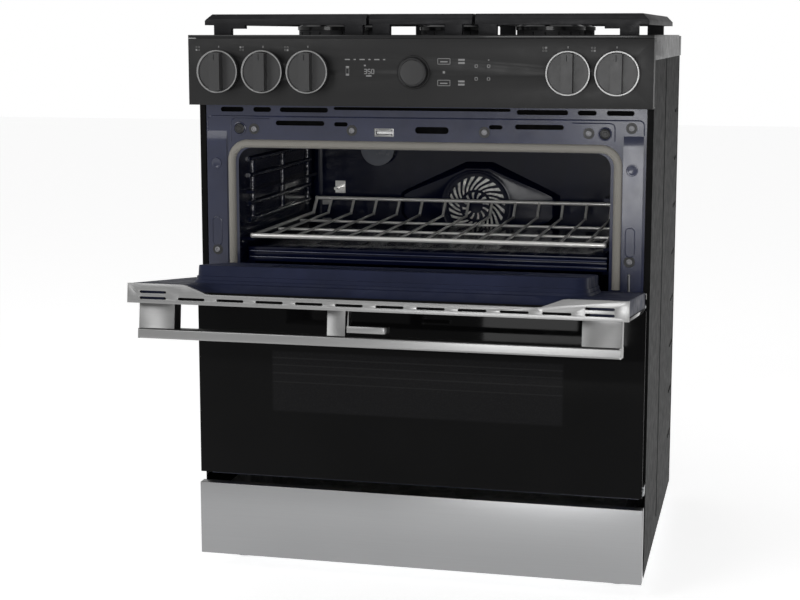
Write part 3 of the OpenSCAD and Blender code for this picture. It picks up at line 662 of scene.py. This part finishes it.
def build_liner_gap_shade():
    """Painted shade: dark plates in the slots near the liner's top edge and a dark strip in the gap under
    the cap, where there is only shade.
    """
    painted_slots = bmesh.new()
    for x0, x1 in LINER_SLOTS:
        low, high = at(x0, 28.35, 763), at(x1, 28.9, 785)
        prism(painted_slots, round_rectangle((low.x, low.z), (high.x, high.z), 2.5 * MM), low.y, high.y)
    painted_slots.transform(OPEN)
    add_piece("liner_slot_shade", painted_slots, "painted_shade_black", "upper_door")
    shadow = bmesh.new()
    rounded_box(shadow, at(-320, 17.9, 787.83), at(320, 31.5, 787.97), 0.03 * MM, 1)
    shadow.transform(OPEN)
    add_piece("cap_shadow", shadow, "painted_shade_black", "upper_door")


BARREL_PROFILE = ((3.1, 0), (5.0, 0), (5.2, 0.3), (5.2, 1.7), (5.0, 2), (3.1, 2), (3.1, 0))


def build_door_barrels():
    """Barrels on the upper door's axis, and the webs that join them to the door."""
    barrels = bmesh.new()
    pivot = at(0, 18, 486)
    for side in (-1, 1):
        part = bmesh.new()
        lathe(part, [(r * MM, h * MM) for r, h in BARREL_PROFILE], (0, 0, 0), "Z", 32)
        join(barrels, part, Matrix.Translation((side * 373 * MM - 1 * MM, pivot.y, pivot.z))
             @ Matrix.Rotation(math.pi / 2, 4, "Y"))
        web = bmesh.new()
        rounded_box(web, at(side * 373 - 0.9, 18.2, 489.6), at(side * 373 + 0.9, 23, 495.4), 0.4 * MM, 1)
        join(barrels, web, OPEN)
    add_piece("door_barrels", barrels, "blue_enamel", "upper_door")


# ---------- front frame ----------

COLUMN_Y = 45.6
FRAME_Y = 48.0
SCREWS = ((-284, 758.5, FRAME_Y), (-115, 758, FRAME_Y), (107, 758, FRAME_Y), (276, 758.5, FRAME_Y),
          (344, 767.5, FRAME_Y), (344.5, 554, COLUMN_Y), (-350.5, 554, COLUMN_Y))
PLUGS = ((-309.5, 759), (302, 758))
# Painted shade: a black disc under each screw head stands for the shaded recess around it
SCREW_RECESS_SHADE = [(9.0, 0.05), (8.8, -0.35), (5.2, -0.3), (0, -0.3)]
SCREW_HEAD = [(4.8, -0.25), (4.7, -1.5), (3.6, -2.1), (2.7, -2.1), (2.3, -1.3), (0, -1.2)]
PLUG_RIM = [(11.2, 0.05), (10.8, -0.9), (9.6, -1.2), (8.6, -0.5), (8.4, 0.05)]
PLUG_CAP = [(8.4, 0.05), (8.2, -1.4), (6.6, -2.0), (5.6, -1.3), (3.6, -1.3), (3.0, -1.9), (0, -2.0)]
COLUMN_PROFILE = [(48.1, 168), (COLUMN_Y, 171), (COLUMN_Y, 735.4), (47.9, 754.6), (48.1, 755)]
DIMPLE = [(9.6, 0.1), (9.0, -0.8), (8.0, -1.0), (6.6, -0.5), (0, 0.05)]
CORNER_RIDGES = ([(-325, 737), (-325, 775.8), (-257, 775.8)], [(249, 774.8), (317.6, 774.8), (317.6, 746)])


def spin(bm, x, y, z, profile, steps=40):
    """Turned form on the front frame; heights in millimetres, negative is forward."""
    lathe(bm, [(r * MM, h * MM) for r, h in profile], at(x, y, z), "Y", steps)


def build_frame_ridges():
    """Raised lines pressed into the front frame."""
    ridges = bmesh.new()
    outline = [(-366.2, 756), (-366.2, 779.6), (363.8, 779.6), (363.8, 756)]
    tube_mesh(ridges, bent([at(x, FRAME_Y, z) for x, z in outline], 9 * MM), 1.1 * MM, 8)
    for path in CORNER_RIDGES:
        tube_mesh(ridges, bent([at(x, FRAME_Y, z) for x, z in path], 9 * MM), 0.9 * MM, 8)
    for x0, x1, z0, z1 in ((-359, -343, 561, 609), (337.6, 352.2, 562, 608.5)):
        low, high = at(x0, COLUMN_Y, z0), at(x1, COLUMN_Y, z1)
        ring = round_rectangle((low.x, low.z), (high.x, high.z), 7 * MM)
        tube_mesh(ridges, [(x, low.y, z) for x, z in ring], 0.8 * MM, 8, closed=True)
    add_piece("frame_ridges", ridges, "blue_enamel", "range_body")


def build_shade_behind_frame_slots():
    """Painted shade: a dark sheet behind the frame's slots, where there is only shade."""
    shade_sheet = bmesh.new()
    rounded_box(shade_sheet, at(-355, 72, 748), at(355, 73.5, 797), 0.4 * MM, 1)
    add_piece("frame_slot_shade", shade_sheet, "painted_shade_black", "range_body")


def build_frame_columns():
    """Raised columns beside the oven, each with a dimple near its top."""
    columns = bmesh.new()
    for x0, x1 in ((-366.6, -332.2), (331.6, 363.6)):
        part = bmesh.new()
        extrude_x(part, COLUMN_PROFILE, x0, x1)
        bevel_sharp(part, 0.8 * MM, 2, 60.0)
        join(columns, part)
    for x, z in ((-350.8, 700.5), (346, 700.8)):
        spin(columns, x, COLUMN_Y, z, DIMPLE)
    add_piece("frame_columns", columns, "blue_enamel", "range_body")


def build_frame_fittings():
    """Screws and plugs on the frame, and the latch; a black disc of painted shade sits under each screw
    head.
    """
    dark, heads, rims = bmesh.new(), bmesh.new(), bmesh.new()
    for x, z, y in SCREWS:
        spin(dark, x, y, z, SCREW_RECESS_SHADE)
        spin(heads, x, y, z, SCREW_HEAD, 24)
    for x, z in PLUGS:
        spin(rims, x, FRAME_Y, z, PLUG_RIM)
        spin(dark, x, FRAME_Y, z, PLUG_CAP)
    piece = add_piece("frame_plugs", dark, "black_plastic", "range_body")
    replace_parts(piece, "frame_screws")
    add_piece("screw_heads", heads, "motor_grey", "range_body")
    add_piece("plug_rims", rims, "blue_enamel", "range_body")
    softened("door_latch", 0.5 * MM, "bright_steel")


def build_hinge_link():
    """Thin link with a ball at each end on the right column."""
    link = bmesh.new()
    tube_mesh(link, [at(344.5, 45.4, 532), at(344.5, 45.2, 520), at(344.5, 45.4, 506)], 1.9 * MM, 16)
    for z, r in ((532, 2.6), (503, 2.7)):
        bmesh.ops.create_uvsphere(link, u_segments=16, v_segments=10, radius=r * MM,
                                  matrix=Matrix.Translation(at(344.5, 45.4, z)))
    add_piece("hinge_link", link, "bright_steel", "range_body")


# ---------- oven inside ----------

OVEN_HW = 312.0
OVEN_BACK = 512.0
FAN_X, FAN_Z = 11.0, 591.0
COVER = [(-140, 565), (-140, 613), (-11, 674), (41, 674), (170, 613), (170, 565), (55, 512), (-25, 512)]
COVER_FACE = OVEN_BACK - 23.6
COVER_SHEET = 1.2 * MM
COVER_TAPER = 0.012
SPOKES = 96
COVE_R = 14
COVE_Z = (216, 744.5)
GUIDE_RAILS_Z = (600, 628, 676, 704)
GUIDE_POSTS_Y = (118, 290, 452)
BACK_PLATES_Z = ((585, 595), (531, 558), (476, 504))


def cover_edge(angle):
    """Distance from the fan's axis to the cover's outline."""
    dx, dz = math.cos(angle), math.sin(angle)
    best = 1e9
    for (ax, az), (bx, bz) in zip(COVER, COVER[1:] + COVER[:1]):
        ex, ez = bx - ax, bz - az
        cross = dx * ez - dz * ex
        if abs(cross) < 1e-9:
            continue
        along = ((ax - FAN_X) * ez - (az - FAN_Z) * ex) / cross
        share = ((ax - FAN_X) * dz - (az - FAN_Z) * dx) / cross
        if along > 0 and -1e-6 <= share <= 1 + 1e-6:
            best = min(best, along)
    return best


def cover_ring(kind, value, y):
    """Points of one ring: a circle that swirls near the hub, or the outline moved in."""
    points = []
    for i in range(SPOKES):
        angle = 2 * math.pi * i / SPOKES
        if kind == "circle":
            twist = 0.75 * (1 - smooth_step(value, 12, 62))
            radius, angle = value, angle + twist
        else:
            radius = cover_edge(angle) - value
        points.append(at(FAN_X + radius * math.cos(angle), y, FAN_Z + radius * math.sin(angle)))
    return points


def is_slot(inner, spoke):
    """Whether the face outside the ring at radius inner is open at this spoke."""
    if 31 <= inner < 57:
        return spoke % 4 < 2
    if 14 <= inner < 26:
        return spoke % 8 < 3
    return False


def build_fan_cover():
    """Pressed cover with swirling slots, open in its middle, and its rim on the back wall."""
    face = COVER_FACE
    circles = [(14, face + 1), (20, face), (26, face), (31, face), (38, face), (45, face), (51, face),
               (57, face), (62, face + 0.3), (65, face - 0.1), (67, face - 0.35), (69, face + 0.8)]
    edges = [(15, face + 0.8), (12, face + 1.0), (9, face + 4), (2, OVEN_BACK - 3), (0.2, OVEN_BACK)]
    rings = [cover_ring("circle", r, y) for r, y in circles]
    rings += [cover_ring("edge", d, y) for d, y in edges]
    bm = bmesh.new()
    verts = [[bm.verts.new(p) for p in ring] for ring in rings]
    for j in range(len(verts) - 1):
        inner = circles[j][0] if j < len(circles) else 999
        for i in range(SPOKES):
            if not is_slot(inner, i):
                k = (i + 1) % SPOKES
                bm.faces.new((verts[j][i], verts[j][k], verts[j + 1][k], verts[j + 1][i]))
    bm.faces.new(verts[0])
    bmesh.ops.recalc_face_normals(bm, faces=bm.faces)
    made = bmesh.ops.extrude_face_region(bm, geom=list(bm.faces), use_keep_orig=True)
    moved = [v for v in made["geom"] if isinstance(v, bmesh.types.BMVert)]
    centre = at(FAN_X, 0, FAN_Z)
    for v in moved:
        v.co.y = min(v.co.y + COVER_SHEET, PANEL_Y + OVEN_BACK * MM)
        if v.co.y > PANEL_Y + (face + 3) * MM:
            v.co.x += (centre.x - v.co.x) * COVER_TAPER
            v.co.z += (centre.z - v.co.z) * COVER_TAPER
    piece = add_piece("fan_cover_pressed", bm, "cavity_enamel", "range_body", 40)
    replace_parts(piece, "fan_cover")


def build_side_guides():
    """Pressed guides on the oven's side walls."""
    ribs = bmesh.new()
    for side in (-1, 1):
        wall, rail, post = side * OVEN_HW, side * (OVEN_HW - 1.5), side * (OVEN_HW - 1)
        for z in GUIDE_RAILS_Z:
            path = [at(wall, 96, z), at(rail, 112, z), at(rail, 452, z), at(wall, 468, z)]
            tube_mesh(ribs, bent(path, 10 * MM), 4.6 * MM, 12)
        for y in GUIDE_POSTS_Y:
            path = [at(wall, y, 596), at(post, y, 606), at(post, y, 698), at(wall, y, 708)]
            tube_mesh(ribs, path, 4.2 * MM, 12)
    add_piece("side_guides", ribs, "crinkled_enamel", "range_body")


def build_cavity_coves():
    """Round corners between the side walls and the back wall."""
    coves = bmesh.new()
    for side in (-1, 1):
        cx, cy = side * (OVEN_HW - COVE_R), OVEN_BACK - COVE_R
        curve = [(cx + side * COVE_R * math.sin(t), cy + COVE_R * math.cos(t))
                 for t in (math.pi / 2 * k / 8 for k in range(9))]
        curve.append((side * (OVEN_HW - 0.1), OVEN_BACK - 0.1))
        bridge(coves, *([at(x, y, z) for x, y in curve] for z in COVE_Z))
    add_piece("cavity_coves", coves, "cavity_enamel", "range_body")


def build_back_wall_parts():
    """Bright plates and a small enamelled boss on the back wall."""
    plates = bmesh.new()
    for z0, z1 in BACK_PLATES_Z:
        rounded_box(plates, at(-297.5, 507.5, z0), at(-281, 511.9, z1), 1.2 * MM, 2)
    add_piece("back_plates", plates, "bright_steel", "range_body")
    boss = bmesh.new()
    rounded_box(boss, at(235, 508.5, 668), at(257, 511.9, 691), 2.5 * MM, 3)
    add_piece("back_boss", boss, "cavity_enamel", "range_body")


def build_divider_highlight_lines():
    """Two lines along the divider's front edge in a lighter enamel, as painted highlights."""
    lines = bmesh.new()
    for z in (539, 549):
        tube_mesh(lines, [at(-304, 76.2, z), at(304, 76.2, z)], 0.9 * MM, 8)
    add_piece("divider_highlights", lines, "highlight_enamel", "range_body")


# ---------- handle, sides ----------


def build_handle_caps():
    """Plates that close the handle's two ends."""
    caps = bmesh.new()
    for x0, x1 in ((-364.9, -362.6), (362.6, 364.9)):
        rounded_box(caps, at(x0, -41.8, 742.2), at(x1, -26.7, 777.8), 0.9 * MM, 2)
    caps.transform(OPEN)
    add_piece("handle_caps", caps, "bright_steel", "upper_door")


def build_hinge_trim():
    """Bright bent wire beside the upper door's right hinge."""
    trim = bmesh.new()
    path = [at(375.4, y, z) for y, z in ((40, 504), (40, 491.8), (31, 491.8))]
    tube_mesh(trim, bent(path, 3 * MM), 0.6 * MM, 10)
    trim.transform(OPEN)
    add_piece("hinge_trim", trim, "bright_steel", "upper_door")


def build_side_details():
    """Pressed creases and louvres on both side panels."""
    for side, body_side in ((-1, "left"), (1, "right")):
        bm = bmesh.new()
        crease_x, louvre_x = side * 378.0, side * 378.9
        for y in (300, 640):
            tube_mesh(bm, [at(crease_x, y, 60), at(crease_x, y, 880)], 1.3 * MM, 10)
        for z in range(140, 860, 90):
            for y in (560, 584, 608):
                low, high = at(louvre_x - 0.7, y, z), at(louvre_x + 0.7, y + 14, z + 5)
                rounded_box(bm, low, high, 0.5 * MM, 2)
        add_piece(body_side + "_pressings", bm, "side_black", "range_body")


# ---------- knobs, dial and printed marks ----------

KNOB_R = 35 * MM
RING_W = 3.2 * MM
GRIP_HALF = 9 * MM
GRIP_R = 31.2 * MM


def build_knob(node):
    """Skirt, bright ring, grip bar and pointer of one knob."""
    low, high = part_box(node)
    centre = ((low.x + high.x) / 2, 0.0, (low.z + high.z) / 2)
    front, back = low.y, high.y
    ring_y = front + 14 * MM
    skirt = bmesh.new()
    lathe(skirt, [(0, back), (KNOB_R - 2 * MM, back), (KNOB_R - 0.6 * MM, back - 1 * MM),
                  (KNOB_R - 0.2 * MM, ring_y + 1.6 * MM), (KNOB_R - RING_W, ring_y + 1.4 * MM),
                  (KNOB_R - RING_W - 0.4 * MM, ring_y + 3 * MM), (0, ring_y + 3 * MM)], centre)
    piece = add_piece(node + "_skirt", skirt, "knob_black", node)
    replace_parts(piece, node)
    ring = bmesh.new()
    lathe(ring, [(KNOB_R - 0.2 * MM, ring_y + 1.7 * MM), (KNOB_R, ring_y + 1.0 * MM),
                 (KNOB_R - 0.5 * MM, ring_y + 0.1 * MM), (KNOB_R - RING_W * 0.75, ring_y + 0.1 * MM),
                 (KNOB_R - RING_W, ring_y + 0.6 * MM), (KNOB_R - RING_W, ring_y + 2.4 * MM)], centre)
    add_piece(node + "_ring", ring, "bright_steel", node)
    grip = bmesh.new()
    tilt = math.degrees(math.asin(GRIP_HALF / GRIP_R))
    outline = arc((centre[0], centre[2]), GRIP_R, 90 - tilt, 90 + tilt, 6)
    outline += arc((centre[0], centre[2]), GRIP_R, 270 - tilt, 270 + tilt, 6)
    prism(grip, outline, front, ring_y + 3.5 * MM)
    bevel_sharp(grip, 1.1 * MM, 3, 50.0)
    add_piece(node + "_grip", grip, "knob_black", node)
    pointer = bmesh.new()
    rounded_box(pointer, (centre[0] - 0.5 * MM, front, centre[2] + 19 * MM),
                (centre[0] + 0.5 * MM, front + 0.6 * MM, centre[2] + 28 * MM), 0.2 * MM, 1)
    add_piece(node + "_pointer", pointer, "ink", node)


# Inset from the rim and depth behind the dial's front, in millimetres
DIAL_PROFILE = ((1, 10.5), (0, 9), (0, 3.0), (0.8, 0.9), (2.2, 0.1), (3.4, 0.5), (4.2, 1.4), (6, 1.6))


def build_dial():
    """Dished dial, its shaft and the collar around it."""
    low, high = DIAL
    centre = (DIAL_X, 0.0, DIAL_Z)
    radius = (high.x - low.x) / 2
    bm = bmesh.new()
    dish = [(radius - inset * MM, low.y + depth * MM) for inset, depth in DIAL_PROFILE]
    lathe(bm, [(0, low.y + 10.5 * MM), *dish, (0, low.y + 1.2 * MM)], centre)
    piece = add_piece("dial_face", bm, "black_plastic", "dial")
    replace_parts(piece, "dial")
    shaft = bmesh.new()
    lathe(shaft, [(0, low.y + 10 * MM), (4 * MM, low.y + 10 * MM), (4 * MM, high.y - 0.5 * MM),
                  (3.5 * MM, high.y), (0, high.y)], centre, steps=32)
    add_piece("dial_shaft", shaft, "pipe_steel", "dial")
    collar = bmesh.new()
    lathe(collar, [(radius + 0.9 * MM, PANEL_Y), (radius + 1.2 * MM, PANEL_Y - 1.2 * MM),
                   (radius + 2.6 * MM, PANEL_Y - 1.2 * MM), (radius + 3.4 * MM, PANEL_Y)], centre)
    add_piece("dial_collar", collar, "black_satin_panel", "range_body")


INK_T = 0.12 * MM


def mark(bm, x, z, width, height):
    """A printed bar centred at x, z millimetres from the dial's axis."""
    cx, cz = DIAL_X + x * MM, DIAL_Z + z * MM
    add_box(bm, (cx - width * MM / 2, PANEL_Y - INK_T, cz - height * MM / 2),
            (cx + width * MM / 2, PANEL_Y, cz + height * MM / 2))


def mark_frame(bm, x, z, width, height, line=0.8):
    """The outline of a printed bar."""
    for side in (-1, 1):
        mark(bm, x + side * (width - line) / 2, z, line, height)
        mark(bm, x, z + side * (height - line) / 2, width, line)


SEGMENTS = {"3": "abcdg", "5": "acdfg", "0": "abcdef"}


def mark_digit(bm, x, z, digit, size=7.0, line=1.3):
    """A seven-segment digit."""
    half, w = size / 2, size * 0.55
    places = {"a": (0, half, w, line), "g": (0, 0, w, line), "d": (0, -half, w, line),
              "b": (w / 2, half / 2, line, half), "c": (w / 2, -half / 2, line, half),
              "f": (-w / 2, half / 2, line, half), "e": (-w / 2, -half / 2, line, half)}
    for name in SEGMENTS[digit]:
        dx, dz, width, height = places[name]
        mark(bm, x + dx, z + dz, width, height)


def mark_burner(bm, x, z, which):
    """Four small squares, one for each burner, with one of them filled."""
    for i in range(4):
        dx, dz = (i % 2 * 2 - 1) * 2.1, (i // 2 * 2 - 1) * 2.3
        if i == which:
            mark(bm, x + dx, z + dz, 3.0, 3.0)
        else:
            mark_frame(bm, x + dx, z + dz, 2.6, 2.6, 0.4)


def build_marks():
    """Generic icons, a display and its number on the control panel."""
    bm = bmesh.new()
    for i, node in enumerate(KNOBS):
        low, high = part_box(node)
        x = ((low.x + high.x) / 2 - DIAL_X) / MM
        mark_burner(bm, x - 38.5, 37, (0, 2, 1, 3, 1)[i])
        mark(bm, x - 2, 40, 1.6, 3.2)
    for i in range(6):
        mark(bm, -109 + i * 12.2, 20, 8.5 if i % 2 == 0 else 3.6, 1.9)
    for z in (8, -4.5):
        mark(bm, -109, z, 5.6, 2.6)
    mark_frame(bm, -109, 1.7, 5.4, 9, 0.5)
    for i, digit in enumerate("350"):
        mark_digit(bm, -79 + i * 6, 1, digit)
    mark(bm, -80, 10.5, 3.0, 2.4)
    mark(bm, -73.5, -6, 9, 2.2)
    for z in (17.5, -16.5):
        mark_frame(bm, 49.6, z, 20.8, 9.6, 0.9)
        mark(bm, 49.6, z - 0.6, 12, 1.9)
        for row in (2.6, -2.4):
            mark(bm, 78, z + row, 10.5, 2.9)
    mark(bm, 49.7, 0.3, 3.6, 3.6)
    for x, z in ((101.9, 10.2), (101.9, -9.7), (121.7, 10.3), (121.7, -9.6)):
        mark_frame(bm, x, z, 5.2, 5.6, 1.2)
    mark(bm, 121.7, 19.9, 2.2, 1.6)
    add_piece("panel_marks", bm, "ink", "range_body")


# ---------- camera, light and floor ----------

CAMERA_RIGHT = 0.577
CAMERA_AHEAD = 2.5438
CAMERA_YAW = math.radians(13.25)
CAMERA_PITCH = math.radians(8.48)
CAMERA_LENS = 72.999
CAMERA_SHIFT = -0.03
FLOOR_SIZE = 14.0
FLOOR_GLOW = 0.72


def make_camera():
    """Seen from the photograph's place, but pitched down where that view is level and shifted."""
    data = bpy.data.cameras.new("camera")
    data.sensor_width = 36.0
    data.lens = CAMERA_LENS
    data.shift_y = CAMERA_SHIFT
    camera = bpy.data.objects.new("camera", data)
    bpy.context.scene.collection.objects.link(camera)
    camera.location = (CAMERA_RIGHT, PANEL_Y - CAMERA_AHEAD, TOP_Z + 1.3 * MM)
    camera.rotation_euler = (math.pi / 2 - CAMERA_PITCH, 0.0, CAMERA_YAW)
    bpy.context.scene.camera = camera


def area_light(name, place, aim, size, power, colour=(1, 1, 1)):
    data = bpy.data.lights.new(name, "AREA")
    data.shape = "RECTANGLE"
    data.size, data.size_y = size
    data.energy = power
    data.color = colour
    light = bpy.data.objects.new(name, data)
    bpy.context.scene.collection.objects.link(light)
    light.location = place
    light.rotation_euler = (Vector(aim) - Vector(place)).to_track_quat("-Z", "Y").to_euler()


def make_floor():
    """A wide plain floor."""
    floor = bmesh.new()
    bmesh.ops.create_grid(floor, x_segments=4, y_segments=4, size=FLOOR_SIZE)
    mesh = bpy.data.meshes.new("floor")
    floor.to_mesh(mesh)
    floor.free()
    ground = bpy.data.objects.new("floor", mesh)
    mesh.materials.append(floor_paper())
    bpy.context.scene.collection.objects.link(ground)


def make_studio():
    """Floor, surrounding light and three soft lamps."""
    make_floor()
    bpy.context.scene.world = studio_world()
    bpy.context.scene.view_settings.view_transform = "Standard"
    area_light("key", (-2.0, -3.0, 2.2), (0, 0, 0.6), (1.4, 1.6), 22)
    area_light("front", (0.5, -3.2, 0.9), (0, 0.2, 0.6), (1.2, 0.7), 20)
    area_light("top", (0, -0.6, 3.0), (0, 0, 0.9), (2.0, 1.4), 12)


def floor_paper():
    """Pale paper that glows a little, so that it stays nearly white out to the horizon."""
    paint = Paint("floor_paper", 0.9, 0.0, 0.1)
    tones = [(0.3, (0.79, 0.79, 0.79)), (0.7, (0.81, 0.81, 0.81))]
    paint.colour(paint.ramp(paint.noise(9.0, 3.0), tones))
    paint.set("Emission Color", (1, 1, 1, 1))
    paint.set("Emission Strength", FLOOR_GLOW)
    return paint.material


def studio_world():
    """White to the camera's own rays; to all others, a light that falls off to the right and upwards."""
    world = bpy.data.worlds.new("studio")
    world.use_nodes = True
    tree = world.node_tree
    white = tree.nodes["Background"]
    white.inputs["Color"].default_value = (1, 1, 1, 1)
    light = tree.nodes.new("ShaderNodeBackground")
    coords = tree.nodes.new("ShaderNodeTexCoord")
    split = tree.nodes.new("ShaderNodeSeparateXYZ")
    tree.links.new(coords.outputs["Generated"], split.inputs["Vector"])
    shades = []
    for axis, stops in (("X", (-1.0, 1.0, 1.0, 0.45)), ("Z", (0.0, 0.9, 1.0, 0.3))):
        node = tree.nodes.new("ShaderNodeMapRange")
        for socket, number in zip(("From Min", "From Max", "To Min", "To Max"), stops):
            node.inputs[socket].default_value = number
        tree.links.new(split.outputs[axis], node.inputs["Value"])
        shades.append(node.outputs["Result"])
    product = tree.nodes.new("ShaderNodeMath")
    product.operation = "MULTIPLY"
    for shade, socket in zip(shades, product.inputs):
        tree.links.new(shade, socket)
    tree.links.new(product.outputs["Value"], light.inputs["Strength"])
    path = tree.nodes.new("ShaderNodeLightPath")
    blend = tree.nodes.new("ShaderNodeMixShader")
    tree.links.new(path.outputs["Is Camera Ray"], blend.inputs["Fac"])
    tree.links.new(light.outputs["Background"], blend.inputs[1])
    tree.links.new(white.outputs["Background"], blend.inputs[2])
    tree.links.new(blend.outputs["Shader"], tree.nodes["World Output"].inputs["Surface"])
    return world


# ---------- the object ----------


def soften_cad():
    for node in ("grate_left", "grate_center", "grate_right"):
        softened(node, 1.6 * MM, None, 3)
    softened("cooktop", 1.2 * MM)
    softened("rear_vent_trim", 0.8 * MM)
    softened("control_panel", 0.6 * MM)
    softened("drawer_front", 0.8 * MM)
    softened("lower_door_glass", 0.8 * MM, "window_glass")
    softened("upper_door_glass", 0.8 * MM)
    softened("door_handle", 0.8 * MM, "bright_steel")
    softened("top_cap", 0.5 * MM, "bright_steel")
    softened("door_lever", 0.5 * MM, "bright_steel")
    softened("oven_divider", 2.0 * MM, "cavity_enamel", 3)


paint_cad_nodes()
make_camera()
make_studio()
soften_cad()
for knob_node in KNOBS:
    build_knob(knob_node)
build_dial()
build_marks()
build_liner("upper_door_liner", (494, 787.8), (514, 710), (560, 664), DIP_DEPTH, OPEN)
build_liner("lower_door_liner", (175, 478), (226, 464), (290, 396), 0.0)
build_liner_gap_shade()
build_door_barrels()
build_frame_ridges()
build_shade_behind_frame_slots()
build_frame_columns()
build_frame_fittings()
build_hinge_link()
build_fan_cover()
build_side_guides()
build_cavity_coves()
build_back_wall_parts()
build_divider_highlight_lines()
build_handle_caps()
build_hinge_trim()
build_side_details()
